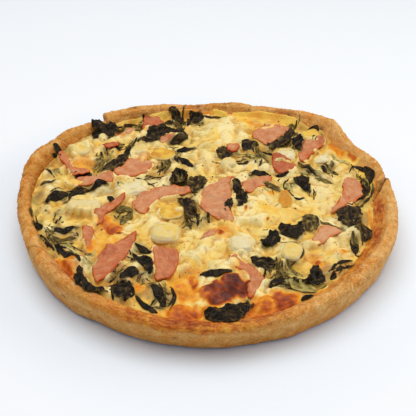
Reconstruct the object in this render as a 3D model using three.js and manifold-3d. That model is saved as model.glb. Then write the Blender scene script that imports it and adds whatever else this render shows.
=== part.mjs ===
// A whole quiche, turned out of a plain flared tin, with ham, potato, onion and
// wilted leaves baked into the custard. Millimetres, +Z up, origin at the centre
// of the flat underside. Angles are in degrees from +X, counterclockwise from above.
import * as THREE from 'three';
import { mergeVertices } from 'three/addons/utils/BufferGeometryUtils.js';
import Module from 'manifold-3d';

const wasm = await Module();
wasm.setup();

// Driving dimensions.
const sectors = 120; // steps round the crust
const fillingRings = 20; // rings of the custard's top, sectors / 6
const rimThickness = 8.5;
const baseThickness = 4;
const wallFoot = 21; // height where the inner wall meets the custard
const fit = 0.35; // clearance between touching pieces
const rest = 0.45; // clearance under a topping
const fillingCentre = 21.3; // custard height in the middle

// The rim's outer radius, how far it leans out past the underside, its height, and the
// radius where the custard stops.
const rimRadius = [
  [-180, 134], [-165, 132], [-150, 132], [-135, 132.5], [-120, 132.5], [-105, 132.5],
  [-90, 132.5], [-75, 132], [-60, 130], [-45, 130], [-30, 131.5], [-15, 133.5], [0, 134.5],
  [12, 136], [21, 138], [30, 132], [38, 135], [45, 142], [52, 140], [60, 136], [70, 132],
  [80, 129], [90, 126], [100, 122], [108, 127], [118, 129], [127, 132], [140, 131], [148, 136],
  [160, 139], [170, 138],
];
const rimFlare = [
  [-180, 6], [-165, 4.5], [-150, 4], [-135, 4.5], [-120, 6], [-105, 6.5], [-90, 7], [-75, 6.5],
  [-60, 4.5], [-45, 3.5], [-30, 3], [-15, 3], [0, 5], [20, 8.5], [160, 8.5],
];
const rimHeight = [
  [-180, 28], [-150, 27.5], [-120, 26], [-90, 25], [-60, 25.5], [-30, 27], [0, 28], [25, 29],
  [45, 32], [65, 30], [90, 29.5], [115, 30], [127, 30], [145, 29.5], [165, 28.5],
];
const custardRadius = [
  [-180, 123], [-160, 121], [-140, 119], [-120, 122], [-100, 122], [-80, 121], [-60, 117],
  [-40, 115], [-20, 114], [0, 115], [20, 118], [35, 120], [46, 124], [60, 121], [80, 118],
  [100, 112], [110, 116], [120, 119], [140, 121], [160, 123],
];
const custardEdge = [
  [-180, 22], [-135, 22.5], [-90, 22.8], [-45, 22.3], [0, 21.8], [45, 21.3], [90, 20.8], [135, 21],
];

// Places where the crust is split, folded over or pinched: [angle, width, drop, pull inwards].
const rimNotches = [
  [132, 3.5, 3.5, 3], [23, 2.5, 2.5, 2.5], [155, 3, 1.5, 2.5], [74, 3, 0.8, 1],
];

// Custard lifted by what is under it: [x, y, half width, half depth, lift].
const mounds = [
  [8, 92, 17, 17, 4.5], [4, 72, 13, 11, 3.5], [-3, 44, 13, 17, 2.6], [31, -22, 13, 13, 2.6],
  [85, -55, 12, 13, 3], [-94, 34, 11, 9, 2], [88, 6, 9, 13, 2.4], [-8, -68, 10, 9, 2.4],
  [9, -74, 9, 8, 2.2], [-37, 12, 8, 8, 1.6], [103, 44, 8, 12, 2], [-103, -30, 9, 8, 2],
  [-66, 79, 9, 9, 1.8], [-99, 54, 9, 9, 1.6], [-14, -114, 10, 7, 2], [45, 110, 14, 9, 2.4],
  [14, -96, 13, 10, 1.6], [-40, -100, 12, 9, 1.2],
];

const hamThickness = 2;
const hamOutlines = [
  [[-54, 106], [-44, 107], [-40, 103], [-36, 94], [-44, 90], [-50, 85], [-52, 79], [-55, 90]],
  [[-84, 60], [-78, 65], [-69, 66], [-72, 61], [-79, 57]],
  [[-70, 25], [-64, 34], [-60, 42], [-50, 43], [-40, 38], [-43, 31], [-49, 23], [-58, 19], [-68, 20]],
  [[-115, 46], [-110, 48], [-105, 38], [-99, 27], [-88, 27], [-87, 22], [-95, 19], [-101, 18],
    [-107, 30], [-113, 39]],
  [[-104, 10], [-94, 15], [-82, 20], [-74, 25], [-69, 18], [-70, 9], [-80, 9], [-88, 6], [-100, 6]],
  [[13, 64], [22, 70], [24, 64], [21, 56], [15, 57]],
  [[33, 81], [36, 91], [43, 98], [57, 102], [66, 95], [58, 85], [51, 75], [47, 69], [38, 75]],
  [[75, 76], [87, 82], [93, 79], [90, 72], [81, 62], [76, 51], [72, 46], [68, 51], [71, 65]],
  [[49, 59], [55, 53], [63, 47], [67, 40], [62, 33], [53, 31], [48, 38]],
  [[99, 26], [104, 30], [111, 25], [112, 14], [113, 8], [104, -2], [95, -10], [85, -15], [92, -4],
    [97, 8], [98, 18]],
  [[20, 25], [12, 23], [5, 17], [-1, 8], [-5, -3], [-6, -14], [0, -21], [8, -28], [16, -34],
    [19, -30], [17, -18], [17, -4], [17, 8], [16, 18]],
  [[25, 18], [32, 22], [45, 27], [48, 24], [41, 14], [35, 8], [29, 5], [25, 10]],
  [[-53, -12], [-46, -2], [-36, 5], [-25, 9], [-16, 9], [-11, 3], [-20, -2], [-34, -6], [-38, -14],
    [-43, -26], [-50, -20]],
  [[-58, -4], [-65, -10], [-72, -19], [-77, -28], [-76, -38], [-71, -38], [-69, -28], [-63, -18],
    [-58, -9]],
  [[-83, -41], [-76, -40], [-74, -48], [-73, -57], [-76, -69], [-79, -62], [-81, -52]],
  [[-47, -42], [-53, -51], [-62, -60], [-68, -70], [-70, -84], [-66, -97], [-60, -89], [-53, -76],
    [-48, -62], [-46, -50]],
  [[-35, -57], [-26, -59], [-18, -61], [-17, -76], [-21, -88], [-30, -91], [-33, -76], [-35, -64]],
  [[15, -65], [25, -70], [33, -78], [38, -90], [32, -100], [27, -107], [26, -98], [27, -88], [22, -80],
    [16, -73]],
  [[80, -30], [92, -36], [84, -44], [75, -53], [69, -50], [74, -39]],
];

// Potato and onion: [x, y, half width, half depth, turn, height, bulge]. A bulge of 1
// is a dome and 0 a flat-topped cube.
const potatoes = [
  [-99, 52, 7.5, 7, 10, 3.2, 0.5], [-54, 56, 6, 6.5, 5, 3, 0.3], [-36, 52, 10, 8.5, -8, 3.6, 1],
  [15, 40, 6, 5.5, 0, 5.5, 0.4], [-85, -19, 12, 8.5, -12, 5, 0.2], [-55, 5, 12, 9.5, 15, 4.2, 0.3],
  [-25, -20, 8.5, 8.5, 20, 3, 0.8], [-27, -45, 10, 9.5, -6, 5.5, 0.3], [23, -56, 7.5, 8, 8, 6.5, 0.2],
  [81, 85, 8, 8.5, 25, 4, 0.4], [56, -59, 7, 8.5, -15, 4, 0.5],
];
const onions = [
  [59, 56, 8, 7.5, 0, 4, 1], [89, 54, 10, 4.5, 28, 2.6, 0.7],
];

// Leaves laid on the custard before the ham, and those on top of everything.
const leafThickness = 0.8;
const leafWave = 0.9;
const leavesBelow = [
  [[-79, 23], [-79, 33], [-74, 39], [-70, 46], [-66, 50], [-64, 60], [-61, 65], [-60, 55], [-61, 46],
    [-64, 37], [-68, 31], [-71, 25], [-75, 26]],
  [[-33, 114], [-29, 113], [-26, 110], [-23, 106], [-20, 100], [-25, 101], [-30, 105], [-35, 110]],
  [[-18, 112], [-12, 111], [-8, 112], [-6, 107], [-8, 103], [-13, 100], [-16, 95], [-19, 95],
    [-19, 103], [-17, 108]],
  [[-28, 12], [-27, 20], [-26, 28], [-23, 30], [-18, 28], [-15, 22], [-15, 16], [-18, 12], [-24, 11]],
  [[-17, 10], [-14, 18], [-10, 22], [-5, 24], [0, 20], [-2, 13], [-4, 6], [-9, 3], [-14, 6]],
  [[-22, -6], [-19, -4], [-14, -3], [-10, -6], [-8, -12], [-7, -19], [-11, -28], [-14, -26],
    [-16, -19], [-19, -11]],
  [[5, 60], [9, 63], [13, 63], [18, 60], [19, 55], [15, 51], [10, 49], [6, 53]],
  [[26, 62], [25, 70], [27, 78], [31, 75], [36, 76], [39, 73], [35, 68], [31, 62]],
  [[62, 22], [66, 28], [70, 30], [73, 28], [75, 21], [74, 10], [71, 10], [68, 15]],
  [[65, -25], [67, -19], [71, -17], [75, -19], [78, -25], [76, -31], [72, -36], [68, -37], [66, -32]],
  [[0, -115], [4, -112], [10, -112], [16, -109], [22, -109], [28, -107], [26, -114], [20, -120],
    [12, -121], [4, -120]],
  [[-79, -82], [-76, -83], [-74, -90], [-71, -96], [-67, -100], [-60, -102], [-57, -107], [-63, -106],
    [-69, -108], [-75, -102], [-80, -94]],
  [[-57, -98], [-53, -95], [-47, -95], [-44, -103], [-44, -110], [-48, -112], [-52, -109], [-56, -105]],
];
const leavesAbove = [
  [[-93, 87], [-89, 89], [-86, 86], [-83, 85], [-80, 91], [-74, 90], [-69, 87], [-75, 83], [-76, 77],
    [-77, 71], [-81, 74], [-84, 79], [-88, 75], [-88, 68], [-92, 70], [-92, 78], [-95, 83]],
  [[-50, 87], [-43, 91], [-33, 93], [-24, 90], [-16, 79], [-23, 83], [-31, 85], [-37, 78], [-43, 71],
    [-57, 65], [-54, 71], [-50, 77]],
  [[45, 67], [48, 72], [54, 77], [59, 84], [65, 93], [69, 89], [66, 82], [60, 74], [54, 68], [49, 65]],
  [[66, 79], [70, 83], [73, 82], [74, 74], [72, 65], [70, 57], [68, 62], [66, 70]],
  [[18, 17], [21, 20], [24, 16], [25, 7], [28, 3], [28, -4], [24, -13], [21, -12], [20, -3], [18, 6]],
  [[12, -13], [11, -18], [13, -21], [17, -18], [18, -12], [17, -7], [14, -4]],
  [[90, -16], [95, -10], [101, -9], [107, -7], [108, -14], [106, -23], [103, -32], [97, -31],
    [91, -25]],
  [[49, -36], [50, -28], [53, -28], [56, -31], [61, -30], [65, -28], [66, -35], [64, -43], [58, -44],
    [52, -43]],
  [[36, -48], [40, -45], [42, -39], [45, -37], [49, -41], [49, -48], [44, -53], [38, -53]],
  [[29, -71], [30, -66], [35, -65], [38, -67], [43, -65], [46, -68], [44, -74], [38, -79], [33, -77]],
  [[52, -87], [58, -85], [64, -84], [67, -76], [69, -71], [73, -72], [73, -79], [76, -86], [71, -90],
    [62, -89]],
  [[-52, -94], [-51, -86], [-48, -80], [-43, -80], [-41, -85], [-45, -91]],
  [[-48, -67], [-42, -70], [-38, -69], [-33, -77], [-32, -86], [-35, -88], [-38, -81], [-43, -75]],
];

// Small leaves and scraps of ham baked on to the custard: [x, y, length, width, turn].
const smallLeaves = [
  [-23, 73, 16, 9, 15], [-22, 57, 13, 9, 40], [-19, 43, 13, 6, -50], [-111, 43, 12, 6, 100],
  [-115, 22, 11, 6, 125], [-90, 20, 13, 6, 20], [-106, -4, 15, 7, 5], [-92, -2, 16, 8, 60],
  [-78, 5, 9, 7, -20], [-95, -45, 13, 6, 20], [-87, -66, 13, 8, -50], [-83, -73, 12, 5, -30],
  [-28, -103, 18, 6, -65], [-31, -112, 11, 5, 10], [8, -84, 20, 6, 8], [26, 42, 9, 8, 70],
  [109, 18, 20, 5, 75], [82, -72, 18, 5, 32], [42, -88, 18, 6, 60], [37, 60, 13, 6, 70],
  [-37, 101, 10, 8, -30], [-53, 101, 9, 5, -55], [-62, 94, 12, 6, 70], [38, 27, 12, 6, 5],
];
const smallHam = [
  [-64, 86, 16, 7, 75], [-33, 78, 14, 8, 35], [1, -45, 18, 7, 60],
];

const radians = Math.PI / 180;

// A smooth closed curve through [angle, value] pairs.
function roundTable(pairs) {
  const count = pairs.length;
  const pair = (i) => {
    const turns = Math.floor(i / count);
    const [angle, value] = pairs[i - turns * count];
    return [angle + 360 * turns, value];
  };
  return (degrees) => {
    const wrapped = ((degrees + 180) % 360 + 360) % 360 - 180;
    let i = 0;
    while (i < count - 1 && pair(i + 1)[0] <= wrapped) i += 1;
    const [before, from, to, after] = [pair(i - 1), pair(i), pair(i + 1), pair(i + 2)];
    const span = to[0] - from[0];
    const t = (wrapped - from[0]) / span;
    const slopeFrom = (to[1] - before[1]) / (to[0] - before[0]) * span;
    const slopeTo = (after[1] - from[1]) / (after[0] - from[0]) * span;
    const rise = to[1] - from[1];
    return from[1] + t * (slopeFrom + t * (3 * rise - 2 * slopeFrom - slopeTo
      + t * (slopeFrom + slopeTo - 2 * rise)));
  };
}

const rimRadiusAt = roundTable(rimRadius);
const rimFlareAt = roundTable(rimFlare);
const rimHeightAt = roundTable(rimHeight);
const custardRadiusAt = roundTable(custardRadius);
const custardEdgeAt = roundTable(custardEdge);

// Hand-pressed unevenness of the pastry, about 1 at most.
function pastryWobble(degrees, phase) {
  const a = degrees * radians;
  return 0.45 * Math.sin(9 * a + phase) + 0.3 * Math.sin(17 * a + 2.1 * phase)
    + 0.25 * Math.sin(29 * a + 3.7 * phase);
}

function notchAt(degrees, column) {
  return rimNotches.reduce((sum, notch) => {
    const away = ((degrees - notch[0] + 180) % 360 + 360) % 360 - 180;
    return sum + notch[column] * Math.exp(-((away / notch[1]) ** 2));
  }, 0);
}

// The crust's section at one angle, from the underside's edge, over the rim, to the
// foot of the inner wall, as [radius, height] pairs.
function crustSection(degrees) {
  const top = rimHeightAt(degrees) + 0.7 * pastryWobble(degrees, 1.3) - notchAt(degrees, 2);
  const outer = rimRadiusAt(degrees) + 0.7 * pastryWobble(degrees, 4.2) - notchAt(degrees, 3);
  const foot = outer - rimFlareAt(degrees);
  const wall = custardRadiusAt(degrees);
  const inner = Math.max(outer - rimThickness, wall + 0.8);
  return [
    [foot - 2.5, 0], [foot, 2], [(foot + outer) / 2 + 0.6, top * 0.5], [outer, top - 4],
    [outer - 1.2, top - 1.2], [(outer + inner) / 2, top], [inner + 1, top - 0.9],
    [inner, top - 2.6], [wall, wallFoot - 1.5], [wall - 3, baseThickness + 2],
    [wall - 6, baseThickness],
  ];
}

// Skins rings of [x, y, z] points, closed with a fan to a pole at each end.
function skinRings(rings, firstPole, lastPole) {
  const size = rings[0].length;
  const points = [...rings.flat(), firstPole, lastPole];
  const first = rings.length * size;
  const faces = [];
  for (let i = 0; i < size; i += 1) {
    const j = (i + 1) % size;
    faces.push(first, j, i);
    for (let ring = 0; ring < rings.length - 1; ring += 1) {
      const a = ring * size;
      const b = a + size;
      faces.push(a + i, a + j, b + j, a + i, b + j, b + i);
    }
    const last = (rings.length - 1) * size;
    faces.push(last + i, last + j, first + 1);
  }
  return makeGeometry(points, faces);
}

function makeGeometry(points, faces) {
  const geometry = new THREE.BufferGeometry();
  geometry.setAttribute('position', new THREE.Float32BufferAttribute(points.flat(), 3));
  geometry.setIndex(faces);
  return geometry;
}

function polar(radius, degrees, height) {
  return [radius * Math.cos(degrees * radians), radius * Math.sin(degrees * radians), height];
}

function buildCrust() {
  const sections = Array.from({ length: sectors }, (_, i) => crustSection(i * 360 / sectors));
  const rings = sections[0].map((_, row) => sections.map(
    (section, i) => polar(section[row][0], i * 360 / sectors, section[row][1])));
  return skinRings(rings, [0, 0, 0], [0, 0, baseThickness]);
}

// Height of the custard's top.
function custardHeight(x, y) {
  const degrees = Math.atan2(y, x) / radians;
  const reach = Math.min(1, Math.hypot(x, y) / custardRadiusAt(degrees));
  const level = fillingCentre + (custardEdgeAt(degrees) - fillingCentre) * reach ** 3;
  const lift = mounds.reduce((sum, [mx, my, halfWidth, halfDepth, height]) => {
    const away = Math.hypot((x - mx) / halfWidth, (y - my) / halfDepth);
    return sum + height * Math.exp(-1.2 * away ** 3);
  }, 0);
  const ripple = 0.35 * Math.sin(x / 7 + 1.3 * Math.sin(y / 11)) * Math.cos(y / 8);
  return level + lift + ripple;
}

// The custard fills the crust, a little clear of it. Its top is a web of rings, each
// with six more points than the one inside it.
function buildCustard() {
  const points = [[0, 0, custardHeight(0, 0)]];
  const faces = [];
  const start = (ring) => (ring === 0 ? 0 : 1 + 3 * ring * (ring - 1));
  for (let ring = 1; ring <= fillingRings; ring += 1) {
    const count = 6 * ring;
    for (let i = 0; i < count; i += 1) {
      const degrees = i * 360 / count;
      const wall = custardRadiusAt(degrees) - fit;
      const [x, y] = polar(wall * ring / fillingRings, degrees, 0);
      points.push([x, y, custardHeight(x, y)]);
      const side = Math.floor(i / ring);
      const inner = ring === 1 ? 0 : start(ring - 1) + (i - side) % (6 * (ring - 1));
      const outer = start(ring) + i;
      const next = start(ring) + (i + 1) % count;
      faces.push(inner, outer, next);
      if (i % ring !== ring - 1) {
        const innerNext = start(ring - 1) + (i - side + 1) % (6 * (ring - 1));
        faces.push(inner, next, innerNext);
      }
    }
  }
  // Down the side, at the crust's own section points.
  const rim = start(fillingRings);
  const lower = [[0, wallFoot - 1.5], [3, baseThickness + 2 + fit], [6, baseThickness + fit]];
  const firstLower = points.length;
  lower.forEach(([inset, height]) => {
    for (let i = 0; i < sectors; i += 1) {
      const degrees = i * 360 / sectors;
      points.push(polar(custardRadiusAt(degrees) - fit - inset, degrees, height));
    }
  });
  const ringStarts = [rim, ...lower.map((_, row) => firstLower + row * sectors)];
  for (let row = 0; row < ringStarts.length - 1; row += 1) {
    for (let i = 0; i < sectors; i += 1) {
      const j = (i + 1) % sectors;
      const [a, b] = [ringStarts[row], ringStarts[row + 1]];
      faces.push(a + i, b + i, b + j, a + i, b + j, a + j);
    }
  }
  const centre = points.length;
  points.push([0, 0, baseThickness + fit]);
  const last = ringStarts[ringStarts.length - 1];
  for (let i = 0; i < sectors; i += 1) faces.push(last + i, centre, last + (i + 1) % sectors);
  return makeGeometry(points, faces);
}

// What later pieces lie on: the upward faces of everything placed so far.
const placed = [];

function addSupport(geometry) {
  const position = geometry.getAttribute('position');
  const index = geometry.getIndex().array;
  const triangles = [];
  for (let i = 0; i < index.length; i += 3) {
    const [a, b, c] = [index[i], index[i + 1], index[i + 2]].map(
      (k) => [position.getX(k), position.getY(k), position.getZ(k)]);
    const area = (b[0] - a[0]) * (c[1] - a[1]) - (b[1] - a[1]) * (c[0] - a[0]);
    if (area > 1e-6) triangles.push([a, b, c, area]);
  }
  geometry.computeBoundingBox();
  placed.push({ triangles, box: geometry.boundingBox });
}

function heightOn(support, x, y) {
  const { min, max } = support.box;
  if (x < min.x || x > max.x || y < min.y || y > max.y) return -Infinity;
  let highest = -Infinity;
  for (const [a, b, c, area] of support.triangles) {
    const u = ((b[0] - x) * (c[1] - y) - (b[1] - y) * (c[0] - x)) / area;
    const v = ((c[0] - x) * (a[1] - y) - (c[1] - y) * (a[0] - x)) / area;
    const w = 1 - u - v;
    if (u >= 0 && v >= 0 && w >= 0) highest = Math.max(highest, u * a[2] + v * b[2] + w * c[2]);
  }
  return highest;
}

// The highest support within a reach of a point, so that a sheet whose edges are no
// longer than the reach can't cut into what it lies on.
function restingHeight(x, y, reach) {
  let highest = -Infinity;
  for (const support of placed) {
    const { min, max } = support.box;
    if (x < min.x - reach || x > max.x + reach || y < min.y - reach || y > max.y + reach) continue;
    const spread = support === placed[1] ? 1.2 : reach;
    highest = Math.max(highest, heightOn(support, x, y));
    for (let ring = 1; ring <= 2; ring += 1) {
      for (let step = 0; step < 10; step += 1) {
        const [dx, dy] = polar(spread * ring / 2, step * 36, 0);
        highest = Math.max(highest, heightOn(support, x + dx, y + dy));
      }
    }
  }
  return highest;
}

// A flat triangulation of a smooth outline, with no edge longer than the given one.
function triangulate(outline, spacing, longest) {
  const curve = new THREE.CatmullRomCurve3(
    outline.map(([x, y]) => new THREE.Vector3(x, y, 0)), true, 'catmullrom', 0.4);
  const count = Math.max(7, Math.round(curve.getLength() / spacing));
  let points = curve.getSpacedPoints(count).slice(0, count).map((p) => new THREE.Vector2(p.x, p.y));
  if (THREE.ShapeUtils.area(points) < 0) points = points.reverse();
  let faces = THREE.ShapeUtils.triangulateShape(points, []);
  const length = (a, b) => points[a].distanceTo(points[b]);
  for (let round = 0; round < 400; round += 1) {
    faces = flipEdges(points, faces);
    let split = null;
    for (const [a, b, c] of faces) {
      for (const [from, to] of [[a, b], [b, c], [c, a]]) {
        if (length(from, to) > longest && (!split || length(from, to) > length(...split))) {
          split = [from, to];
        }
      }
    }
    if (!split) break;
    points.push(points[split[0]].clone().lerp(points[split[1]], 0.5));
    faces = faces.flatMap((face) => splitFace(face, split, points.length - 1));
  }
  return { points, faces };
}

function splitFace(face, [from, to], middle) {
  for (let i = 0; i < 3; i += 1) {
    const [a, b, c] = [face[i], face[(i + 1) % 3], face[(i + 2) % 3]];
    if ((a === from && b === to) || (a === to && b === from)) return [[a, middle, c], [middle, b, c]];
  }
  return [face];
}

// Swaps the diagonal of any two triangles that get rounder by it.
function flipEdges(points, faces) {
  const sides = new Map();
  faces.forEach(([a, b, c], i) => {
    sides.set(`${a},${b}`, [i, c]);
    sides.set(`${b},${c}`, [i, a]);
    sides.set(`${c},${a}`, [i, b]);
  });
  const turned = (a, b, c) => (points[b].x - points[a].x) * (points[c].y - points[a].y)
    - (points[b].y - points[a].y) * (points[c].x - points[a].x) > 1e-3;
  const cosine = (a, b, c) => {
    const first = points[a].clone().sub(points[b]);
    const second = points[c].clone().sub(points[b]);
    return first.dot(second) / (first.length() * second.length());
  };
  for (const [side, [i, c]] of sides) {
    const [a, b] = side.split(',').map(Number);
    const other = sides.get(`${b},${a}`);
    if (!other) continue;
    const [j, d] = other;
    const flatter = Math.acos(cosine(a, c, b)) + Math.acos(cosine(b, d, a)) > Math.PI + 1e-3;
    if (flatter && turned(c, a, d) && turned(d, b, c)) {
      const next = faces.slice();
      next[i] = [c, a, d];
      next[j] = [d, b, c];
      return flipEdges(points, next);
    }
  }
  return faces;
}

// A sheet over an outline: underAt gives the lower face and thicknessAt how much
// higher the upper one is. Both faces have the same triangles.
function buildSheet({ points, faces }, underAt, thicknessAt) {
  const count = points.length;
  const lower = points.map(({ x, y }) => [x, y, underAt(x, y)]);
  const upper = points.map(({ x, y }, i) => [x, y, lower[i][2] + thicknessAt(x, y)]);
  const sides = new Set(faces.flatMap(([a, b, c]) => [`${a},${b}`, `${b},${c}`, `${c},${a}`]));
  const index = [];
  faces.forEach(([a, b, c]) => {
    index.push(a + count, b + count, c + count, a, c, b);
    [[a, b], [b, c], [c, a]].forEach(([from, to]) => {
      if (!sides.has(`${to},${from}`)) index.push(from, to, to + count, from, to + count, from + count);
    });
  });
  return makeGeometry([...lower, ...upper], index);
}

function buildHam(outline) {
  const flat = triangulate(outline, 5, 7.5);
  return buildSheet(flat, (x, y) => restingHeight(x, y, 3) + rest, () => hamThickness);
}

function buildLeaf(outline) {
  const flat = triangulate(outline, 3.6, 5.2);
  const wave = (x, y) => leafWave * (0.5 + 0.5 * Math.sin(x / 1.9 + 2 * Math.sin(y / 4.3)));
  return buildSheet(flat, (x, y) => restingHeight(x, y, 3.6) + rest + wave(x, y), () => leafThickness);
}

// A chunk stands on the custard: an outline between a box and an oval, drawn in
// towards a top that is flat or domed.
function buildChunk([x, y, halfWidth, halfDepth, turn, height, bulge]) {
  const steps = 14;
  const squareness = 0.55 + 0.3 * bulge;
  const ringAt = (scale) => Array.from({ length: steps }, (_, i) => {
    const a = i * 2 * Math.PI / steps;
    const u = scale * halfWidth * Math.sign(Math.cos(a)) * Math.abs(Math.cos(a)) ** squareness;
    const v = scale * halfDepth * Math.sign(Math.sin(a)) * Math.abs(Math.sin(a)) ** squareness;
    const [c, s] = [Math.cos(turn * radians), Math.sin(turn * radians)];
    return [x + u * c - v * s, y + u * s + v * c];
  });
  const rise = [[0.99, 0.5], [0.84 - 0.12 * bulge, 0.88], [0.45, 0.98]];
  const foot = ringAt(1).map(([px, py]) => [px, py, restingHeight(px, py, 2.4) + rest]);
  const middle = restingHeight(x, y, 3) + rest;
  const rings = [foot, ...rise.map(([scale, share]) => ringAt(scale).map(([px, py], i) => [
    px, py, Math.max(foot[i][2] + 0.12 * height, middle + share * height)]))];
  return skinRings(rings, [x, y, middle], [x, y, middle + height]);
}

// A small leaf or scrap as a low lens, sunk half way into the custard.
function buildScrap([x, y, length, width, turn]) {
  const steps = 7;
  const [c, s] = [Math.cos(turn * radians), Math.sin(turn * radians)];
  const ringAt = (scale, offset) => Array.from({ length: steps }, (_, i) => {
    const a = i * 2 * Math.PI / steps;
    const u = scale * length / 2 * Math.cos(a);
    const v = scale * width / 2 * Math.sin(a);
    const [px, py] = [x + u * c - v * s, y + u * s + v * c];
    return [px, py, custardHeight(px, py) + offset];
  });
  const level = custardHeight(x, y);
  return skinRings([ringAt(1, -0.7), ringAt(1, 0.35), ringAt(0.55, 0.9)],
    [x, y, level - 0.7], [x, y, level + 1]);
}

function toManifold(geometry) {
  const merged = mergeVertices(geometry);
  const mesh = new wasm.Mesh({
    numProp: 3,
    vertProperties: new Float32Array(merged.getAttribute('position').array),
    triVerts: new Uint32Array(merged.getIndex().array),
  });
  return new wasm.Manifold(mesh);
}

function fromManifold(solid) {
  const { vertProperties, triVerts } = solid.getMesh();
  const geometry = new THREE.BufferGeometry();
  geometry.setAttribute('position', new THREE.BufferAttribute(vertProperties, 3));
  geometry.setIndex(new THREE.BufferAttribute(triVerts, 1));
  return geometry;
}

const materials = {
  crust: new THREE.MeshStandardMaterial({ color: 0xd9a05c, roughness: 0.75, metalness: 0 }),
  custard: new THREE.MeshStandardMaterial({ color: 0xf4d68a, roughness: 0.45, metalness: 0 }),
  ham: new THREE.MeshStandardMaterial({ color: 0xd08360, roughness: 0.45, metalness: 0 }),
  potato: new THREE.MeshStandardMaterial({ color: 0xebdca6, roughness: 0.5, metalness: 0 }),
  onion: new THREE.MeshStandardMaterial({ color: 0xd9d6b0, roughness: 0.4, metalness: 0 }),
  leaf: new THREE.MeshStandardMaterial({ color: 0x37332a, roughness: 0.55, metalness: 0 }),
};

const quiche = new THREE.Group();

function addPiece(name, geometry, material) {
  const mesh = new THREE.Mesh(geometry, material);
  mesh.name = name;
  quiche.add(mesh);
  addSupport(geometry);
}

function addPieces(kind, shapes, build, material, firstNumber = 1) {
  shapes.forEach((shape, i) => {
    const number = String(i + firstNumber).padStart(2, '0');
    addPiece(`${kind}_${number}`, build(shape), material);
  });
}

addPiece('crust', buildCrust(), materials.crust);

const custard = [...smallLeaves, ...smallHam].reduce(
  (solid, scrap) => solid.add(toManifold(buildScrap(scrap))), toManifold(buildCustard()));
addPiece('custard', fromManifold(custard), materials.custard);

addPieces('potato', potatoes, buildChunk, materials.potato);
addPieces('onion', onions, buildChunk, materials.onion);
addPieces('leaf', leavesBelow, buildLeaf, materials.leaf);
addPieces('ham', hamOutlines, buildHam, materials.ham);
addPieces('leaf', leavesAbove, buildLeaf, materials.leaf, leavesBelow.length + 1);

export default quiche;
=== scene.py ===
import math

import bpy
import numpy as np
from mathutils import Euler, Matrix, Vector, geometry, noise
from mathutils.bvhtree import BVHTree


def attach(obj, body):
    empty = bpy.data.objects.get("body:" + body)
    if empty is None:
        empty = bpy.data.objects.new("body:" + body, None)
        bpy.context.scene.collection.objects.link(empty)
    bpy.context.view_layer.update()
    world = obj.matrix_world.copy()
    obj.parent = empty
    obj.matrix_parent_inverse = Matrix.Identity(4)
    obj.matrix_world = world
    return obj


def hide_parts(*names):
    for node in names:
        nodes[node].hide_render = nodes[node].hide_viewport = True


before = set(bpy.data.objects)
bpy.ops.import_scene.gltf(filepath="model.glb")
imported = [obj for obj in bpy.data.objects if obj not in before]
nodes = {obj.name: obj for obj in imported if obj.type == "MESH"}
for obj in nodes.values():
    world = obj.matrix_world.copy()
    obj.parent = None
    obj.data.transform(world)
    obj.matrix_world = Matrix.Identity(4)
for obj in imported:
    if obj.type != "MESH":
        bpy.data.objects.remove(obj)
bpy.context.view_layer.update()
metre = 0.001            # all sizes below are millimetres, meshes are metres
print("frame loaded:", len(nodes), "nodes")


# Maps: square grids over the quiche as seen from above.

plan = {"half": 144.0, "cell": 0.5}
cells = int(2 * plan["half"] / plan["cell"])
planAxis = (np.arange(cells) + 0.5) * plan["cell"] - plan["half"]
planX, planY = np.meshgrid(planAxis, planAxis)
planReach, planAngle = np.hypot(planX, planY), np.degrees(np.arctan2(planY, planX))
planWaves = np.hypot(*np.meshgrid(np.fft.rfftfreq(cells, plan["cell"]),
                                  np.fft.fftfreq(cells, plan["cell"])))


def blurMap(field, width):
    kernel = np.exp(-2 * (math.pi * width * planWaves) ** 2)
    return np.fft.irfft2(np.fft.rfft2(field) * kernel, s=field.shape)


# Soft random hills of a given size, about -2 to 2.
def noiseMap(seed, size):
    field = blurMap(np.random.default_rng(seed).standard_normal((cells, cells)), size)
    return field / field.std()


# Values known only inside a mask, spread smoothly over the rest.
def spreadMap(values, mask, width):
    inside = np.where(mask, values, 0.0)
    result = np.full(mask.shape, inside.sum() / max(mask.sum(), 1))
    for reach in (width * 8, width * 3, width):
        weight = blurMap(mask.astype(float), reach)
        known = np.clip((weight - 0.03) / 0.12, 0, 1)
        result += known * (blurMap(inside, reach) / np.maximum(weight, 0.02) - result)
    return result


def smoothStep(field, low, high):
    share = np.clip((field - low) / (high - low), 0, 1)
    return share * share * (3 - 2 * share)


# The cells between two corners, as rows and columns of a map.
def window(left, front, right, back):
    rows, columns = (np.searchsorted(planAxis, ends) for ends in ((front, back), (left, right)))
    return slice(*rows), slice(*columns)


def sampleMap(field, x, y):
    u, v = (np.clip((np.asarray(place) + plan["half"]) / plan["cell"] - 0.5, 0, cells - 1.001)
            for place in (x, y))
    column, row = u.astype(int), v.astype(int)
    across, down = u - column, v - row
    upper = field[row, column] * (1 - across) + field[row, column + 1] * across
    lower = field[row + 1, column] * (1 - across) + field[row + 1, column + 1] * across
    return upper * (1 - down) + lower * down


# How much each cell lies in an ellipse with a ragged edge: 1 in the middle, 0 outside.
def spotMap(spots, ragged, soft=0.45):
    total = np.zeros((cells, cells))
    for x, y, halfWidth, halfDepth, turn, strength in spots:
        c, s = math.cos(math.radians(turn)), math.sin(math.radians(turn))
        along = ((planX - x) * c + (planY - y) * s) / halfWidth
        aside = ((planY - y) * c - (planX - x) * s) / halfDepth
        away = np.hypot(along, aside) + ragged
        total = np.maximum(total, strength * smoothStep(-away, -1 - soft, -1 + soft))
    return total


def nodeTriangles(name):
    mesh = nodes[name].data
    points = np.zeros(len(mesh.vertices) * 3)
    mesh.vertices.foreach_get("co", points)
    mesh.calc_loop_triangles()
    corners = np.zeros(len(mesh.loop_triangles) * 3, int)
    mesh.loop_triangles.foreach_get("vertices", corners)
    return points.reshape(-1, 3)[corners.reshape(-1, 3)] / metre


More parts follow.
